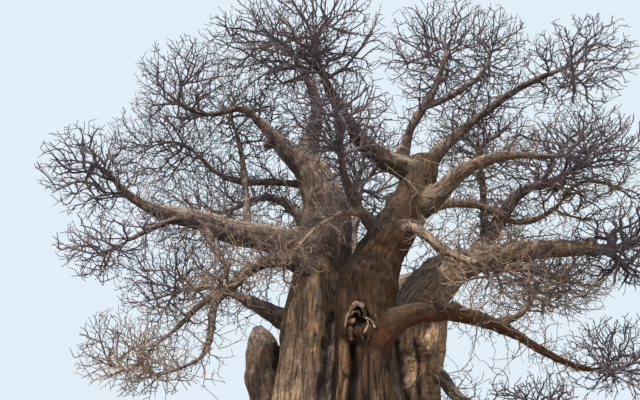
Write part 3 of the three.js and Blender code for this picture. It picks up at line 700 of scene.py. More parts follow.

# A furrow parts each stem from the next, darkened with painted shade. It also runs up beside the
# two boughs that go on from a stem in one line.
GOES_ON = {"leaning_bough": "stem_0", "great_left_upright": "stem_1"}
FURROW_WIDTH = 5
FURROW_FADE = 0.88
FURROW_FULL = 1.8
FURROW_DEPTH = 0.08
FURROW_PAINTED_SHADE = 0.85
stem_of_limb = np.full(len(limb_names), -1)
for number, name in enumerate(limb_names):
    if number < len(STEMS) or name in GOES_ON:
        stem_of_limb[number] = limb_names.index(GOES_ON.get(name, name))
ends = stem_of_limb[limb[edges]]
furrow = np.zeros(len(spots))
furrow[edges[(ends[:, 0] != ends[:, 1]) & (ends >= 0).all(axis=1)].ravel()] = 1
for _ in range(FURROW_WIDTH):
    furrow = np.maximum(FURROW_FADE * furrow, averaged(furrow))
furrow = np.minimum(FURROW_FULL * furrow, 1)
relief -= FURROW_DEPTH * furrow
# Painted shade in the furrow.
marks["crevice"] = np.maximum(marks["crevice"], FURROW_PAINTED_SHADE * furrow)
spots += normal * relief[:, None]
spots[:, 2] = np.where(on_ground, 0, np.maximum(spots[:, 2], 0))
normal = normals_of(spots)

# Bark: thin and smooth for so great a tree, grey brown with a bronze cast, with fibres along
# each limb and paler blotches, which are painted patches of sunlight.
SPECULAR = 0.15
GRAIN_LENGTH = 0.12
BUMP_STRENGTH = 0.9
BUMP_DEPTH = 0.05


def shade(red, green, blue):
    """A screen colour, 0 to 255, as the plain light values that a shader takes."""
    plain = [channel / 255 for channel in (red, green, blue)]
    return (*[c / 12.92 if c < 0.04 else ((c + 0.055) / 1.055) ** 2.4 for c in plain], 1.0)


BARK_TONES = {
    "base": shade(94, 70, 52), "warm": shade(116, 80, 54), "pale": shade(178, 158, 144),
    "fibre": shade(38, 26, 18), "bleached": shade(184, 168, 156), "crevice": shade(14, 9, 7),
    "bare": shade(206, 180, 154), "rust": shade(114, 64, 40), "tan": shade(198, 162, 128),
    "mauve": shade(98, 83, 84), "dusky": shade(58, 38, 17),
}


def material_of(name, roughness):
    made = bpy.data.materials.new(name)
    made.use_nodes = True
    shader = made.node_tree.nodes["Principled BSDF"]
    shader.inputs["Roughness"].default_value = roughness
    shader.inputs["Specular IOR Level"].default_value = SPECULAR
    return made, made.node_tree, shader


def add_node(tree, kind, inputs, output, **settings):
    """A node with its settings. Each named input gets a value or a link from another node, and
    the output of the given name comes back."""
    node = tree.nodes.new(kind)
    for key, value in settings.items():
        setattr(node, key, value)
    for key, value in inputs.items():
        socket = next(s for s in node.inputs if key in (s.identifier, s.name))
        if isinstance(value, bpy.types.NodeSocket):
            tree.links.new(value, socket)
        else:
            socket.default_value = value
    return next(s for s in node.outputs if output in (s.identifier, s.name))


def noise_of(tree, vector, scale, detail=4.0, roughness=0.55):
    """Smooth noise, mostly between 0.3 and 0.7."""
    inputs = {"Vector": vector, "Scale": scale, "Detail": detail, "Roughness": roughness}
    return add_node(tree, "ShaderNodeTexNoise", inputs, "Fac")


def spread_of(tree, value, low, high, top=1.0, bottom=0.0):
    """A value stretched from the range low to high onto bottom to top."""
    inputs = {"Value": value, "From Min": low, "From Max": high, "To Min": bottom, "To Max": top}
    return add_node(tree, "ShaderNodeMapRange", inputs, "Result")


def mixed(tree, share, first, second):
    """Two colours mixed by a share."""
    inputs = {"Factor_Float": share, "A_Color": first, "B_Color": second}
    return add_node(tree, "ShaderNodeMix", inputs, "Result_Color", data_type="RGBA")


def mark_of(tree, name, output="Fac"):
    """A mark that the mesh carries."""
    return add_node(tree, "ShaderNodeAttribute", {}, output, attribute_name=name)


bark, tree, shader = material_of("baobab_bark", 0.88)
place = add_node(tree, "ShaderNodeTexCoord", {}, "Object")
drawn_out = {"Vector": mark_of(tree, "grain", "Vector"), "Scale": (1.0, 1.0, GRAIN_LENGTH)}
fibres = noise_of(tree, add_node(tree, "ShaderNodeMapping", drawn_out, "Vector"), 11.0, 6.0, 0.65)
patches = noise_of(tree, place, 0.5, 3.0)
sun_patch_noise = noise_of(tree, place, 2.6, 5.0, 0.6)
speckle = noise_of(tree, place, 24.0, 4.0, 0.7)
COATS = [
    ("warm", spread_of(tree, patches, 0.42, 0.6)),
    ("tan", mark_of(tree, "tan")),
    ("mauve", mark_of(tree, "mauve")),
    # Painted light: paler patches stand in for sunlight that falls through the crown.
    ("pale", spread_of(tree, sun_patch_noise, 0.5, 0.64, 0.6)),
    # Painted light: upper sides turn paler the more they face up.
    ("bleached", spread_of(tree, mark_of(tree, "bleached"), 0.1, 0.9, 0.8)),
    ("fibre", spread_of(tree, speckle, 0.5, 0.36, 0.7)),
    ("pale", spread_of(tree, speckle, 0.52, 0.66, 0.3)),
    ("dusky", mark_of(tree, "dusky")),
    ("fibre", spread_of(tree, fibres, 0.58, 0.4, 0.65)),
    ("rust", mark_of(tree, "rust")),
    ("bare", mark_of(tree, "bare")),
    # Painted shade over everything else: creases, hollows, cracks, furrows and undersides.
    ("crevice", mark_of(tree, "crevice")),
]
colour = BARK_TONES["base"]
for tone, share in COATS:
    colour = mixed(tree, share, colour, BARK_TONES[tone])
tree.links.new(colour, shader.inputs["Base Color"])
tree.links.new(spread_of(tree, sun_patch_noise, 0.3, 0.7, 0.95, 0.75), shader.inputs["Roughness"])
height = add_node(tree, "ShaderNodeMath", {"Value": fibres, "Value_001": speckle}, "Value", operation="ADD")
relief_seen = {"Strength": BUMP_STRENGTH, "Distance": BUMP_DEPTH, "Height": height}
tree.links.new(add_node(tree, "ShaderNodeBump", relief_seen, "Normal"), shader.inputs["Normal"])

# The skin is parted into four pieces where one group of limbs meets the next. Each piece is
# closed inside the wood, and keeps the whole skin's normals so that no seam shows.
SKIN_PIECES = {
    "trunk_bark": [],
    "front_boughs_bark": ["leaning_bough", "crown_left_bough", "crown_middle_bough", "crown_middle_fork",
                          "crown_right_bough", "right_fork_bough", "slender_bough", "drooping_bough",
                          "front_right_bough", "right_light_bough", "right_low_bough", "right_low_fork"],
    "left_boughs_bark": ["great_left_upright", "kinked_left_bough", "tall_left_bough", "left_middle_bough",
                         "left_great_bough", "left_great_fork", "left_inner_upright",
                         "left_hanging_bough", "left_low_bough", "left_low_drop", "left_low_reach",
                         "left_shaded_bough"],
    "far_boughs_bark": ["right_great_bough", "right_inner_bough", "right_ground_bough", "rear_left_bough",
                        "rear_middle_bough", "rear_right_bough", "rear_right_upright"],
}


def rims_of(local):
    """The closed lines at which a piece's triangles end, each as a list of edges."""
    directed = np.vstack([local[:, [0, 1]], local[:, [1, 2]], local[:, [2, 0]]])
    forward = set(map(tuple, directed.tolist()))
    rim = [(a, b) for a, b in forward if (b, a) not in forward]
    leader = {spot: spot for edge in rim for spot in edge}

    def leader_of(spot):
        while leader[spot] != spot:
            spot = leader[spot]
        return spot

    for a, b in rim:
        leader[leader_of(a)] = leader_of(b)
    lines = {}
    for a, b in rim:
        lines.setdefault(leader_of(a), []).append((a, b))
    return list(lines.values())


def dress_in_bark(piece, own_marks, own_grain):
    """Writes the marks and the grain that the bark's colours follow, and puts the bark on."""
    for key, values in own_marks.items():
        mark = piece.data.attributes.new(key, "FLOAT", "POINT")
        mark.data.foreach_set("value", values.astype(np.float32))
    mark = piece.data.attributes.new("grain", "FLOAT_VECTOR", "POINT")
    mark.data.foreach_set("vector", own_grain.astype(np.float32).ravel())
    piece.data.shade_smooth()
    piece.data.materials.append(bark)


group_of_limb = np.zeros(len(limb_names), dtype=np.int64)
for group, names in enumerate(SKIN_PIECES.values()):
    for name in names:
        group_of_limb[limb_names.index(name)] = group
owner = np.sort(group_of_limb[limb[triangles]], axis=1)[:, 1]
for group, (piece_name, names) in enumerate(SKIN_PIECES.items()):
    own = triangles[owner == group]
    used, local = np.unique(own, return_inverse=True)
    local = local.reshape(-1, 3)
    own_spots = [spots[used]]
    faces = local.tolist()
    for rim in rims_of(local):
        middle = len(used) + len(own_spots) - 1
        own_spots.append(spots[used[[a for a, b in rim]]].mean(axis=0, keepdims=True))
        faces += [(b, a, middle) for a, b in rim]
    piece = object_of(piece_name, mesh_of(piece_name, np.vstack(own_spots), faces))
    blank = len(own_spots) - 1
    own_marks = {key: np.append(values[used], np.zeros(blank)) for key, values in marks.items()}
    dress_in_bark(piece, own_marks, np.vstack([grain[used], np.zeros((blank, 3))]))
    own_normals = np.vstack([normal[used], np.tile((0, 0, 1), (blank, 1))])
    piece.data.normals_split_custom_set_from_vertices([tuple(way_out) for way_out in own_normals])
    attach(piece, "root")
    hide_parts(*(names or ["trunk"]))

# The callus round the wound and the old wood in it: lumpy rolls that form a hood, a reddish knob
# and pale strands, each pressed into the bark. Every row's line is in X and Z.
CALLUS = [
    {"line": ((-0.58, 3.57), (-0.5, 3.9), (-0.37, 4.17), (-0.24, 4.28)), "width": 0.1, "bare": 0.36},
    {"line": ((-0.34, 4.2), (-0.22, 4.31), (-0.08, 4.29), (-0.01, 4.18)), "width": 0.15, "bare": 0.5},
    {"line": ((-0.05, 4.22), (0.04, 4.06), (0.06, 3.9)), "width": 0.11, "bare": 0.12},
    {"line": ((-0.4, 3.92), (-0.3, 4.06), (-0.17, 4.08), (-0.1, 3.92)), "width": 0.1, "bare": 0.12},
    {"line": ((-0.4, 3.84), (-0.36, 3.77), (-0.31, 3.7)), "width": 0.22, "bare": 0.15, "rust": 0.5},
    {"line": ((-0.02, 3.93), (0.13, 3.87), (0.25, 3.78), (0.3, 3.7)), "width": 0.08, "bare": 0.55},
    {"line": ((0.12, 3.8), (0.12, 3.64), (0.06, 3.5), (0.02, 3.4)), "width": 0.07, "bare": 0.65},
    {"line": ((0.3, 3.68), (0.33, 3.62), (0.37, 3.56)), "width": 0.07, "bare": 0.65},
    {"line": ((-0.42, 3.6), (-0.4, 3.4), (-0.38, 3.2)), "width": 0.14, "bare": 0.12},
    {"line": ((-0.2, 3.5), (-0.1, 3.36), (0.0, 3.16)), "width": 0.08, "bare": 0.0},
    {"line": ((0.24, 3.6), (0.2, 3.38), (0.1, 3.12)), "width": 0.08, "bare": 0.0},
    {"line": ((0.34, 3.98), (0.42, 3.78), (0.4, 3.55)), "width": 0.12, "bare": 0.0},
]
CALLUS_RINGS = 22
CALLUS_SIDES = 14
CALLUS_PROUD = 0.15
CALLUS_NEAR = 0.14
CALLUS_LUMPS = 0.4
CALLUS_DUSKY = 0.7
near_wound = spots[on_front > 0.2]
callus_spots, callus_faces, callus_marks = [], [], {key: [] for key in marks}
share = np.linspace(0, 1, CALLUS_RINGS)
ends = np.interp(share, (0, 0.12, 0.88, 1), (0.3, 1, 1, 0.3))
for number, row in enumerate(CALLUS):
    knots = np.array(row["line"])
    knot_share = np.linspace(0, 1, len(knots))
    x, z = (np.polyval(np.polyfit(knot_share, knots[:, k], len(knots) - 1), share) for k in (0, 1))
    face = [
        near_wound[np.hypot(near_wound[:, 0] - a, near_wound[:, 2] - b) < CALLUS_NEAR, 1].min()
        for a, b in zip(x, z)
    ]
    face = np.polyval(np.polyfit(share, face, 1), share)
    points = np.stack([x, face - CALLUS_PROUD * row["width"], z], -1)
    frames = frames_of(points)
    radius = np.tile((row["width"] / 2 * ends)[:, None], CALLUS_SIDES)
    lumps = uneven(tube_of(points, radius, frames)[0], (0.07, 0.07, 0.1), 31 + number)
    own, faces = tube_of(points, radius * (1 + CALLUS_LUMPS * lumps.reshape(radius.shape)), frames)
    first = sum(len(part) for part in callus_spots)
    callus_spots.append(own)
    callus_faces += [[first + i for i in face] for face in faces]
    worn = np.clip(0.7 + 0.9 * uneven(own, (0.05, 0.05, 0.09), 51), 0, 1)
    for key in marks:
        callus_marks[key].append(np.zeros(len(own)))
    callus_marks["bare"][-1] += row["bare"] * worn
    callus_marks["rust"][-1] += row.get("rust", 0)
    callus_marks["dusky"][-1] += CALLUS_DUSKY
callus_mesh = mesh_of("wound_callus", np.vstack(callus_spots), callus_faces)
turned = bmesh.new()
turned.from_mesh(callus_mesh)
bmesh.ops.recalc_face_normals(turned, faces=turned.faces)
turned.to_mesh(callus_mesh)
turned.free()
own_marks = {key: np.concatenate(parts) for key, parts in callus_marks.items()}
piece = object_of("wound_callus", callus_mesh)
dress_in_bark(piece, own_marks, np.vstack(callus_spots))
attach(piece, "root")

# The crown's masses: bare twigs that grow on from the boughs' tips, each in a space of its own.
# The rule is the solids' own. A stem goes first, then a twig to each random point, nearest the
# foot first, from the node that gives the shortest and straightest way.
MASS_KEYS = ("on", "heading", "rise", "carry", "half")
FIRST_SEED = 11
MASSES = [
    ("crown_left_bough", -120, 30, 0.6, (2.8, 2.6, 2.1)),
    ("crown_middle_bough", 120, 50, 0.7, (2.5, 2.7, 2.2)),
    ("crown_middle_fork", 80, 60, 0.9, (2.0, 2.5, 2.0)),
    ("crown_right_bough", 0, 15, 0.95, (2.2, 2.5, 1.85)),
    ("right_fork_bough", 5, 10, 1.2, (2.3, 2.4, 1.6)),
    ("slender_bough", -95, 50, 0.4, (2.1, 2.2, 1.8)),
    ("drooping_bough", -130, 0, 0.35, (1.3, 1.3, 1.1)),
    ("front_right_bough", -38, -12, 0.7, (1.9, 1.6, 1.5)),
    ("right_light_bough", -30, -20, 0.8, (2.8, 2.4, 1.8)),
    ("kinked_left_bough", 49, 77, 0.72, (2.6, 2.8, 2.4)),
    ("tall_left_bough", -170, 20, 1.15, (3.3, 3.0, 2.3)),
    ("left_middle_bough", 170, 6, 1.31, (2.7, 3.0, 2.4)),
    ("left_great_bough", 175, 20, 0.7, (2.0, 2.3, 1.9)),
    ("left_great_fork", -140, -10, 0.45, (1.5, 1.6, 1.2)),
    ("left_inner_upright", 40, 45, 1.0, (2.5, 2.8, 2.4)),
    ("left_hanging_bough", -110, -45, 0.7, (1.3, 1.5, 1.2)),
    ("left_low_drop", -140, 35, 0.45, (1.5, 1.7, 1.1)),
    ("left_low_reach", 150, 50, 0.65, (1.7, 2.0, 1.5)),
    ("left_shaded_bough", 165, 20, 0.95, (2.6, 2.8, 2.0)),
    ("right_low_bough", 8, 30, 0.85, (2.4, 2.5, 1.6)),
    ("right_low_fork", 35, 22, 0.9, (2.5, 2.5, 1.7)),
    ("right_great_bough", 0, 12, 1.3, (2.3, 2.7, 2.0)),
    ("right_inner_bough", 0, 40, 1.5, (2.8, 2.8, 2.3)),
    ("right_ground_bough", -45, 15, 0.45, (1.5, 1.7, 1.1)),
    ("rear_left_bough", 156, 4, 1.9, (3.5, 3.2, 3.0)),
    ("rear_middle_bough", 80, 55, 1.3, (3.9, 3.2, 3.4)),
    ("rear_right_bough", 60, 20, 0.9, (2.7, 3.0, 2.1)),
    ("rear_right_upright", 50, 60, 0.6, (3.0, 3.0, 2.6)),
]
LOWEST_TWIG = 0.35
STEM_NODES = 5
STEM_REACH = 0.7
MOST_CHILDREN = 3
TEST_STEP = 0.16
STEM_FIT = 0.92
STEM_GAP = 0.0003
MOST_NODES = 30000
LIMBS_NEAR = 1.0
LEAST_FROM_BOUGH = -0.3
UNDERSIDE = -0.2
UNDERSIDE_BARE = 0.5
MASS_FROM = 0.6
SIDE_STEP = 0.25
LAST_SIDE_TWIG = 0.98
BEYOND_SOLIDS = 0.15
reach_box = np.array(solid_box) + np.array([[-BEYOND_SOLIDS], [BEYOND_SOLIDS]])
POINT_SHARE = 0.455
TUBE_PITCH = 0.95
UPWARD = (0, 0, 0.5)

# Twigs grow in four rounds, and each row of the rule holds a value for every round. The first is
# the solids' own. Each later one is finer, and grows from all the twigs before it and from the
# bough's sides, at wide angles and from whatever is near.
GROWTH_RULE = {
    "shortest": (0.35, 0.4, 0.2, 0.08),
    "longest": (2.1, 1.7, 0.9, 0.34),
    "site": (0.6, 0.2, 0.17, 0.17),
    "clearance": (0.13, 0.09, 0.06, 0.04),
    "margin": (0.05, -0.06, -0.12, -0.16),
    "depth": (1.0, 1.05, 1.12, 1.16),
    "outward": (0.28, 0.36, 0.42, 0.42),
    "turn_cost": (0.7, 0.7, 0.5, 0.2),
    "path_cost": (0.25, 0.2, 0.12, 0.04),
    "out_cost": (0.0, 0.4, 0.6, 0.6),
    "sharpest": (85, 90, 90, 100),
    "tries": (3, 2, 1, 1),
    "most_tested": (500, 12, 8, 6),
    "points_a_square": (0.0, 16.0, 90.0, 165.0),
    "points_a_metre": (0.0, 8.0, 38.0, 70.0),
}
ROUNDS = [{key: values[k] for key, values in GROWTH_RULE.items()} for k in range(4)]


def dice(seed):
    """A seeded dice: the same rolls every time, between nought and one."""
    state = seed * 7919
    while True:
        state = state * 16807 % 2147483647
        yield state / 2147483647


def any_way(roll):
    """A random direction, from two rolls of a dice."""
    height = 2 * next(roll) - 1
    turn = 2 * math.pi * next(roll)
    level = math.sqrt(1 - height * height)
    return np.array((level * math.cos(turn), level * math.sin(turn), height))


def space_of(row, seed):
    """A mass's space: an ellipsoid with the given half sizes, whose middle lies carry metres from
    the bough's tip."""
    bough = BOUGHS[row["on"]]
    path = paths[row["on"]]
    count = math.ceil(bough["length"] / TUBE_PITCH)
    before, tip = on_path(path, np.array([(count - 1) / count, 1.0]))
    ahead = (tip - before) / np.linalg.norm(tip - before)
    out = bearing(row["heading"], row["rise"])
    middle = tip + out * row["carry"]
    half = np.array(row["half"])
    to_side = 1 / np.linalg.norm(out / half)
    return {"foot": tip + ahead * STEM_GAP, "far": middle + out * to_side * STEM_REACH, "ahead": ahead,
            "foot_radius": bough["diameter"][-1] / 2 * STEM_FIT, "middle": middle, "half": half,
            "on": row["on"], "seed": seed}


spaces = [space_of(dict(zip(MASS_KEYS, row)), seed) for seed, row in enumerate(MASSES, start=FIRST_SEED)]
middles = np.array([space["middle"] for space in spaces])
halves = np.array([space["half"] for space in spaces])
share = np.linspace(0, 1, WALK_STEPS + 1)
clearings = [(name, paths[name], half_widths(row)) for name, row in BOUGHS.items()]
clearings += [("stem", stem_path(row), half_widths(row) * flare_of(row, share)) for row in STEMS]


class Growth:
    """Twigs as nodes, and the space and limbs that they keep to. Given a mass's space, they stay
    inside it. Without one they are the twigs on a bough's sides, which stay out of the masses."""

    def __init__(self, on, space=None, number=-1, reach=0.0):
        self.on = on
        self.space = space
        self.reach_out = reach
        centre = space["middle"] if space else paths[on].mean(axis=0)
        wide = space["half"].max() if space else np.linalg.norm(paths[on] - centre, axis=1).max() + reach
        near = np.linalg.norm(middles - centre, axis=1) < wide + halves.max(axis=1)
        if space:
            near[number] = False
        self.near = np.flatnonzero(near)
        spots, radii, own = [], [], []
        for name, line, thickness in clearings:
            close = np.linalg.norm(line - centre, axis=1) < wide + thickness + LIMBS_NEAR
            spots.append(line[close])
            radii.append(thickness[close])
            own.append(np.full(close.sum(), name == on))
        self.limb_spots = np.vstack(spots)
        self.limb_radii = np.concatenate(radii)
        self.own_limb = np.concatenate(own)
        self.at = np.zeros((MOST_NODES, 3))
        self.ahead = np.zeros((MOST_NODES, 3))
        self.parent = np.full(MOST_NODES, -1)
        self.way = np.zeros(MOST_NODES)
        self.under = np.zeros(MOST_NODES)
        self.children = np.zeros(MOST_NODES, dtype=np.int64)
        self.count = 0
        if space:
            self.count = 1
            self.at[0] = space["foot"]
            self.ahead[0] = space["ahead"]

    def is_free(self, points, growth, from_own=False):
        """Whether every point is in this space, above the ground and clear of every limb."""
        if points[:, 2].min() < LOWEST_TWIG:
            return False
        if (points < reach_box[0]).any() or (points > reach_box[1]).any():
            return False
        if self.space:
            depth = np.linalg.norm((points - self.space["middle"]) / self.space["half"], axis=1)
            if depth.max() > growth["depth"]:
                return False
        else:
            depth = np.ones(len(points))
        if len(self.near):
            others = (points[:, None] - middles[self.near]) / halves[self.near]
            if (np.sqrt((others * others).sum(-1)) < depth[:, None] + growth["margin"]).any():
                return False
        keep = ~self.own_limb if from_own else slice(None)
        gaps = points[:, None] - self.limb_spots[keep]
        room = self.limb_radii[keep] + growth["clearance"]
        return not ((gaps * gaps).sum(-1) < room * room).any()

    def is_free_twig(self, start, point, growth, from_own=False):
        """Whether the whole way from a start to a point is free."""
        tests = math.ceil(math.dist(start, point) / TEST_STEP)
        shares = np.arange(1, tests + 1)[:, None] / tests
        return self.is_free(start + (point - start) * shares, growth, from_own)

    def add(self, point, origin, growth):
        """A twig from a node to a point, with a node at every site on it."""
        start = self.at[origin].copy()
        length = math.dist(start, point)
        steps = math.ceil(length / growth["site"])
        parent = origin
        for i in range(1, steps + 1):
            self.children[parent] += 1
            new = self.count
            self.at[new] = start + (point - start) * (i / steps)
            self.ahead[new] = (point - start) / length
            self.parent[new] = parent
            self.way[new] = self.way[origin] + length * i / steps
            self.count += 1
            parent = new
        return parent

    def reach(self, point, growth):
        """Adds the cheapest free twig to a point, if there is one."""
        if not self.is_free(point[None], growth):
            return False
        n = self.count
        twig = point - self.at[:n]
        length = np.sqrt((twig * twig).sum(-1))
        showing = length - self.under[:n]
        could = (showing >= growth["shortest"]) & (showing <= growth["longest"])
        could &= self.children[:n] < MOST_CHILDREN
        if self.space:
            could[0] = False
        found = np.flatnonzero(could)
        if len(found) == 0:
            return False
        straight = (twig[found] * self.ahead[found]).sum(-1) / length[found]
        least = math.cos(math.radians(growth["sharpest"]))
        fit = straight >= np.where(self.under[found] > 0, LEAST_FROM_BOUGH, least)
        found, straight = found[fit], straight[fit]
        cost = showing[found] * (1 + growth["turn_cost"] * (1 - straight))
        if self.space:
            away = (point - self.space["middle"]) / self.space["half"] + UPWARD
            out = (twig[found] @ away) / (length[found] * np.linalg.norm(away))
            cost *= 1 + growth["out_cost"] * (1 - out)
        cost += growth["path_cost"] * self.way[found]
        for i in found[np.argsort(cost, kind="stable")][:growth["most_tested"]]:
            if self.is_free_twig(self.at[i], point, growth, self.under[i] > 0):
                self.add(point, i, growth)
                return True
        return False

    def points_in_space(self, count, growth, roll):
        """Points at random in the mass's space, nearest the foot first."""
        points = np.empty((count, 3))
        for i in range(count):
            away = any_way(roll)
            out = next(roll) ** growth["outward"]
            points[i] = away * out * self.space["half"] + self.space["middle"]
        return points[np.argsort(np.linalg.norm(points - self.space["foot"], axis=1), kind="stable")]

    def points_round_bough(self, count, roll, first, last=1.0):
        """Points at random round part of a bough, nearest it first."""
        row = BOUGHS[self.on]
        points, outs = [], []
        while len(points) < count:
            share = first + (last - first) * next(roll)
            away = any_way(roll)
            out = self.reach_out * next(roll)
            if away[2] < UNDERSIDE and next(roll) < UNDERSIDE_BARE:
                continue
            middle = on_path(paths[self.on], np.array([share]))[0]
            points.append(middle + away * (along(row["diameter"], share) / 2 + out))
            outs.append(out)
        return np.array(points)[np.argsort(outs, kind="stable")]

    def grow(self, points, growth):
        """One round of twigs: a twig to each point that can be reached."""
        for _ in range(growth["tries"]):
            points = [point for point in points if not self.reach(point, growth)]

    def start_stem(self):
        """The mass's stem, which bends from the bough's heading towards the far side."""
        foot, far, ahead = (self.space[key] for key in ("foot", "far", "ahead"))
        bend = foot + ahead * (math.dist(foot, far) / 2)
        end = 0
        for i in range(1, STEM_NODES + 1):
            t = i / STEM_NODES
            point = (1 - t) ** 2 * foot + 2 * t * (1 - t) * bend + t * t * far
            if not self.is_free_twig(self.at[end], point, ROUNDS[0], from_own=True):
                break
            end = self.add(point, end, ROUNDS[0])

    def divide(self, step):
        """Puts nodes between the nodes of the coarse twigs, for finer ones to grow from."""
        old = self.count
        at, ahead = self.at[:old].copy(), self.ahead[:old].copy()
        parent, way = self.parent[:old].copy(), self.way[:old].copy()
        self.children[:] = 0
        self.count = 1
        moved = {0: 0}
        for i in range(1, old):
            start = moved[parent[i]]
            steps = math.ceil(math.dist(self.at[start], at[i]) / step)
            last = start
            for k in range(1, steps + 1):
                new = self.count
                self.at[new] = at[parent[i]] + (at[i] - at[parent[i]]) * (k / steps)
                self.ahead[new] = ahead[i]
                self.parent[new] = last
                self.way[new] = way[parent[i]] + (way[i] - way[parent[i]]) * (k / steps)
                self.children[last] += 1
                self.count += 1
                last = new
            moved[i] = last

    def add_bough(self, first, step):
        """Nodes inside the bough's outer part, so that finer twigs leave its sides."""
        row, path = BOUGHS[self.on], paths[self.on]
        count = math.ceil(row["length"] * (1 - first) / step)
        share = np.linspace(first, LAST_SIDE_TWIG, count)
        points = on_path(path, share)
        heading = np.gradient(points, axis=0)
        new = slice(self.count, self.count + count)
        self.at[new] = points
        self.ahead[new] = heading / np.linalg.norm(heading, axis=1)[:, None]
        self.under[new] = along(row["diameter"], share) / 2
        self.count += count


growths = []
for number, space in enumerate(spaces):
    mass = Growth(space["on"], space, number)
    roll = dice(space["seed"])
    mass.start_stem()
    count = math.floor(space["half"].sum() / POINT_SHARE + 0.5)
    mass.grow(mass.points_in_space(count, ROUNDS[0], roll), ROUNDS[0])
    mass.divide(ROUNDS[1]["site"])
    mass.add_bough(MASS_FROM, SIDE_STEP)
    for growth in ROUNDS[1:]:
        count = round(growth["points_a_square"] * space["half"].prod() ** (2 / 3))
        mass.grow(mass.points_in_space(count, growth, roll), growth)
    growths.append(mass)

# Twigs also leave the boughs' own sides, short of the masses, and fill the crown's inside. They
# grow by the three finer rounds only.
SIDE_REACH = 1.5
SIDE_FROM = 0.25
SIDE_SEED = 61
LATER_SIDES = {"leaning_bough": 0.7, "great_left_upright": 0.45, "right_great_bough": 0.35}
for number, (name, row) in enumerate(BOUGHS.items(), start=SIDE_SEED):
    side = Growth(name, reach=SIDE_REACH)
    roll = dice(number)
    first = LATER_SIDES.get(name, SIDE_FROM)
    side.add_bough(first, SIDE_STEP)
    for growth in ROUNDS[1:]:
        count = round(growth["points_a_metre"] * row["length"] * (1 - first))
        side.grow(side.points_round_bough(count, roll, first), growth)
    growths.append(side)

# Burrs: parts of the boughs from which fine twigs break in dense tangles. Each is a stretch of
# its bough, from one share of the way along it to another, and grows by the finest round.
BURRS = {
    "leaning_bough": (0.86, 1.0), "crown_right_bough": (0.05, 0.3),
    "great_left_upright": (0.45, 0.95), "kinked_left_bough": (0.1, 0.4),
    "left_great_bough": (0.1, 0.6), "left_low_bough": (0.2, 0.9),
    "right_great_bough": (0.1, 0.75), "front_right_bough": (0.2, 1.0),
    "right_inner_bough": (0.1, 0.9), "right_light_bough": (0.2, 0.9),
    "left_middle_bough": (0.05, 0.4), "right_fork_bough": (0.2, 0.7),
    "tall_left_bough": (0.1, 0.5), "right_low_bough": (0.3, 0.6),
}
BURR_REACH = 0.75
BURR_STEP = 0.12
BURR_SEED = 151
BURR_POINTS = 130.0
for number, (name, (first, last)) in enumerate(BURRS.items(), start=BURR_SEED):
    burr = Growth(name, reach=BURR_REACH)
    burr.add_bough(first, BURR_STEP)
    count = round(BURR_POINTS * BOUGHS[name]["length"] * (last - first))
    burr.grow(burr.points_round_bough(count, dice(number), first, last), ROUNDS[3])
    growths.append(burr)

# Each node carries so many free ends, and is as thick as these ask. Chains follow the thickest
# child. Thick chains are round branches, and the thin ones beyond them three-sided twigs. The
# boughs that the sun lights have thinner, warmer twigs.
TWIG_END = 0.0125
SIDE_POWER = 0.36
BRANCH_LEAST = 0.02
SPRAY_ENDS = 45
TONES = 4
LIT_TWIG_END = 0.0095
LIT_MASSES = ["front_right_bough", "right_light_bough", "drooping_bough", "left_hanging_bough",
              "left_low_drop", "left_low_reach", "right_low_fork"]
LIT_TWIGS = ["front_right_bough", "right_light_bough", "right_fork_bough", "drooping_bough",
             "right_great_bough", "left_hanging_bough", "left_low_bough", "left_low_drop",
             "left_low_reach", "left_great_bough", "right_low_bough", "right_low_fork",
             "right_ground_bough", "leaning_bough", "great_left_upright"]


def chains_of(mass):
    """Lines of nodes with their radii, each along the thickest child, and every node's tone."""
    n = mass.count
    ends = np.zeros(n, dtype=np.int64)
    children = [[] for _ in range(n)]
    parent = mass.parent[:n]
    for i in range(n - 1, -1, -1):
        ends[i] = max(ends[i], 1)
        if parent[i] >= 0:
            ends[parent[i]] += ends[i]
            children[parent[i]].append(i)
    lit = mass.on in (LIT_MASSES if mass.space else LIT_TWIGS)
    end_radius = LIT_TWIG_END if lit else TWIG_END
    power = SIDE_POWER
    if mass.space:
        power = math.log(mass.space["foot_radius"] / end_radius) / math.log(max(ends[0], 2))
    radius = end_radius * ends ** power
    roll = dice(sum(map(ord, mass.on)))
    first_tone = TONES if lit else 0
    tone = np.zeros(n, dtype=np.int64)
    for i in range(n):
        new_spray = parent[i] < 0 or (ends[i] < SPRAY_ENDS <= ends[parent[i]])
        tone[i] = int(next(roll) * TONES) + first_tone if new_spray else tone[parent[i]]

    def thickest_first(i):
        return sorted(children[i], key=lambda child: -ends[child])

    chains, waiting = [], []
    for i in range(n):
        if parent[i] < 0:
            nexts = thickest_first(i)
            if i == 0 and mass.space:
                waiting.append([0] + nexts[:1])
                nexts = nexts[1:]
            waiting += [[i, child] for child in nexts]
    while waiting:
        chain = waiting.pop()
        own_stem = mass.space and chain[0] == 0
        radii = [radius[chain[0 if own_stem else 1]]] + [radius[i] for i in chain[1:]]
        here = chain[-1]
        while children[here]:
            nexts = thickest_first(here)
            waiting += [[here, child] for child in nexts[1:]]
            here = nexts[0]
            chain.append(here)
            radii.append(radius[here])
        chains.append((chain, radii))
    return chains, tone


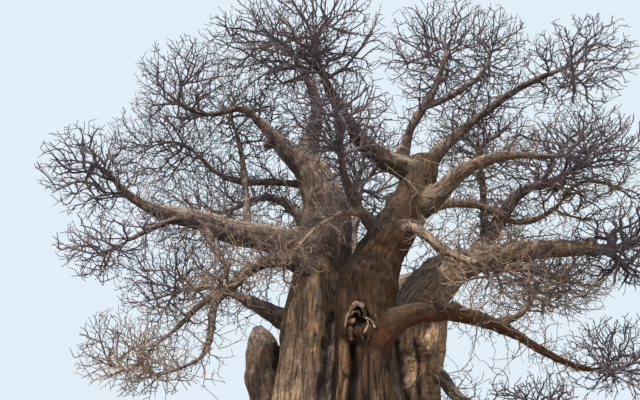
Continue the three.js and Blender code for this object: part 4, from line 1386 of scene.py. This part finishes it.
TWIG_PIECES = {
    "front_crown": ["crown_left_bough", "crown_middle_bough", "crown_middle_fork", "slender_bough",
                    "drooping_bough", "leaning_bough"],
    "right_crown": ["crown_right_bough", "right_fork_bough", "front_right_bough", "right_light_bough"],
    "left_crown": ["kinked_left_bough", "tall_left_bough", "left_middle_bough", "left_inner_upright",
                   "great_left_upright"],
    "low_left": ["left_great_bough", "left_great_fork", "left_hanging_bough", "left_low_bough",
                 "left_low_drop", "left_low_reach", "left_shaded_bough"],
    "low_right": ["right_low_bough", "right_low_fork", "right_great_bough", "right_inner_bough",
                  "right_ground_bough"],
    "back_left": ["rear_left_bough", "rear_middle_bough"],
    "back_right": ["rear_right_bough", "rear_right_upright"],
}
LOOSE_AFTER = 1.2
SUNK_STUB = 0.3
BRANCH_SIDES = 7
TWIG_SIDES = 3


def line_mesh(name, chains):
    """Chains as loose edges, with each spot's radius, looseness and tone."""
    places, radii, loose, tones, links = [], [], [], [], []
    for points, thick, slack, tone in chains:
        first = len(radii)
        places.append(points)
        radii += list(thick)
        loose += list(slack)
        tones += [tone] * len(thick)
        links += [(first + i, first + i + 1) for i in range(len(thick) - 1)]
    mesh = mesh_of(name, np.vstack(places), edges=links)
    for key, kind, plain, values in (("radius", "FLOAT", np.float32, radii),
                                     ("loose", "FLOAT", np.float32, loose),
                                     ("tone", "INT", np.int32, tones)):
        mark = mesh.attributes.new(key, kind, "POINT")
        mark.data.foreach_set("value", np.array(values, dtype=plain))
    return mesh


def sweep_tree(name, paints):
    """Loose edges bent a little by noise and swept into tubes, each spray in its own colour."""
    made = bpy.data.node_groups.new(name, "GeometryNodeTree")
    face = made.interface
    face.new_socket("Lines", in_out="INPUT", socket_type="NodeSocketGeometry")
    for label, value in (("Bend", 0.24), ("Bend size", 1.0), ("Kink", 0.055), ("Kink size", 0.28)):
        face.new_socket(label, in_out="INPUT", socket_type="NodeSocketFloat").default_value = value
    face.new_socket("Sides", in_out="INPUT", socket_type="NodeSocketInt").default_value = TWIG_SIDES
    face.new_socket("Twigs", in_out="OUTPUT", socket_type="NodeSocketGeometry")
    inlet = made.nodes.new("NodeGroupInput").outputs
    outlet = made.nodes.new("NodeGroupOutput").inputs[0]

    def named(label, kind="FLOAT"):
        called = {"Name": label}
        return add_node(made, "GeometryNodeInputNamedAttribute", called, "Attribute", data_type=kind)

    def vectors(operation, **inputs):
        return add_node(made, "ShaderNodeVectorMath", inputs, "Vector", operation=operation)

    def swerve(amount, size):
        turns = {"Value": 1, "Value_001": size}
        scale = add_node(made, "ShaderNodeMath", turns, "Value", operation="DIVIDE")
        noise = add_node(made, "ShaderNodeTexNoise", {"Detail": 0, "Scale": scale}, "Color")
        centred = vectors("SUBTRACT", Vector=noise, Vector_001=(0.5, 0.5, 0.5))
        return vectors("SCALE", Vector=centred, Scale=amount)

    bend = swerve(inlet["Bend"], inlet["Bend size"])
    kink = swerve(inlet["Kink"], inlet["Kink size"])
    eased = vectors("SCALE", Vector=vectors("ADD", Vector=bend, Vector_001=kink), Scale=named("loose"))
    bent = {"Geometry": inlet["Lines"], "Offset": eased}
    curve = {"Mesh": add_node(made, "GeometryNodeSetPosition", bent, "Geometry")}
    section = {"Radius": 1, "Resolution": inlet["Sides"]}
    tube = {
        "Curve": add_node(made, "GeometryNodeMeshToCurve", curve, "Curve"),
        "Profile Curve": add_node(made, "GeometryNodeCurvePrimitiveCircle", section, "Curve"),
        "Scale": named("radius"),
        "Fill Caps": True,
    }
    shape = add_node(made, "GeometryNodeCurveToMesh", tube, "Mesh")
    for tone, paint in enumerate(paints):
        same = {"A_INT": named("tone", "INT"), "B_INT": tone}
        chosen = add_node(made, "FunctionNodeCompare", same, "Result", data_type="INT", operation="EQUAL")
        painted = {"Geometry": shape, "Selection": chosen, "Material": paint}
        shape = add_node(made, "GeometryNodeSetMaterial", painted, "Geometry")
    whole = add_node(made, "GeometryNodeRealizeInstances", {"Geometry": shape}, "Geometry")
    made.links.new(whole, outlet)
    return made


# The twigs' tones: four grey mauves for the crown, then four warm, paler ones for the boughs that
# the sun lights.
TWIG_TONES = [shade(82, 73, 79), shade(97, 87, 92), shade(112, 100, 103), shade(68, 60, 66),
              shade(112, 94, 84), shade(130, 110, 98), shade(90, 75, 69), shade(150, 129, 113)]
DARKER = 0.72
twig_paints = []
for number, tone in enumerate(TWIG_TONES):
    paint, tree, shader = material_of(f"twig_bark_{number + 1}", 0.85)
    place = add_node(tree, "ShaderNodeTexCoord", {}, "Object")
    darker = tuple(channel * DARKER for channel in tone[:3]) + (1.0,)
    tree.links.new(mixed(tree, spread_of(tree, noise_of(tree, place, 5.0), 0.3, 0.7), tone, darker),
                   shader.inputs["Base Color"])
    twig_paints.append(paint)
sweep = sweep_tree("twig_sweep", twig_paints)
by_bough = {}
for mass in growths:
    by_bough.setdefault(mass.on, []).append(mass)
massed = [row[0] for row in MASSES]
for piece_name, boughs in TWIG_PIECES.items():
    branch_lines, twig_lines = [], []
    for mass in [mass for on in boughs for mass in by_bough[on]]:
        chains, tone = chains_of(mass)
        for chain, radii in chains:
            points = mass.at[chain]
            slack = np.minimum(1, mass.way[chain] / LOOSE_AFTER)
            radii = np.array(radii)
            thick = int((radii >= BRANCH_LEAST).sum())
            if thick >= 2:
                if chain[0] == 0 and mass.space:
                    points = np.vstack([points[0] - mass.space["ahead"] * SUNK_STUB, points])
                    slack = np.concatenate([[0], slack])
                    radii = np.concatenate([[radii[0]], radii])
                    thick += 1
                cut = min(thick + 1, len(radii))
                own_tone = tone[chain[min(2, len(chain) - 1)]]
                branch_lines.append((points[:cut], radii[:cut], slack[:cut], own_tone))
                points, radii, slack = points[cut - 1:], radii[cut - 1:], slack[cut - 1:]
            if len(radii) >= 2:
                twig_lines.append((points, radii, slack, tone[chain[1]]))
    for kind, kind_lines, sides in (("branches", branch_lines, BRANCH_SIDES),
                                    ("twigs", twig_lines, TWIG_SIDES)):
        if not kind_lines:
            continue
        name = f"{piece_name}_{kind}"
        source = object_of(name + "_lines", line_mesh(name + "_lines", kind_lines))
        swept = source.modifiers.new("swept", "NODES")
        swept.node_group = sweep
        for item in sweep.interface.items_tree:
            if item.name == "Sides":
                swept[item.identifier] = sides
        piece = object_of(name, finished(source, name))
        for key in ("radius", "loose", "tone"):
            if key in piece.data.attributes:
                piece.data.attributes.remove(piece.data.attributes[key])
        piece.data.shade_smooth()
        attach(piece, "root")
        if kind == "twigs":
            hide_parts(*[on.replace("_bough", "") + "_twigs" for on in boughs if on in massed])

# The setting: a plain pale floor under a plain pale sky, a high sun in front of the tree and a
# little to the left, and light from all round.
FLOOR = [(-90, -60, 0), (90, -60, 0), (90, 120, 0), (-90, 120, 0)]
SUN_LIGHT = 6.4
SUN_WIDTH = 2
SUN_TURN = (28, -5, 0)
SKY_LIGHT = 1.0
floor = object_of("floor", mesh_of("floor", FLOOR, [(0, 1, 2, 3)]))
floor_paint, tree, shader = material_of("floor_paint", 0.9)
shader.inputs["Base Color"].default_value = shade(164, 160, 152)
floor.data.materials.append(floor_paint)

sun = bpy.data.objects.new("sun", bpy.data.lights.new("sun", "SUN"))
sun.data.energy = SUN_LIGHT
sun.data.angle = math.radians(SUN_WIDTH)
sun.data.color = (1.0, 0.95, 0.88)
sun.rotation_euler = [math.radians(turn) for turn in SUN_TURN]
bpy.context.scene.collection.objects.link(sun)

world = bpy.data.worlds.new("sky")
world.use_nodes = True
sky = world.node_tree.nodes["Background"].inputs
sky["Color"].default_value = shade(226, 238, 248)
sky["Strength"].default_value = SKY_LIGHT
bpy.context.scene.world = world
bpy.context.scene.view_settings.view_transform = "Standard"
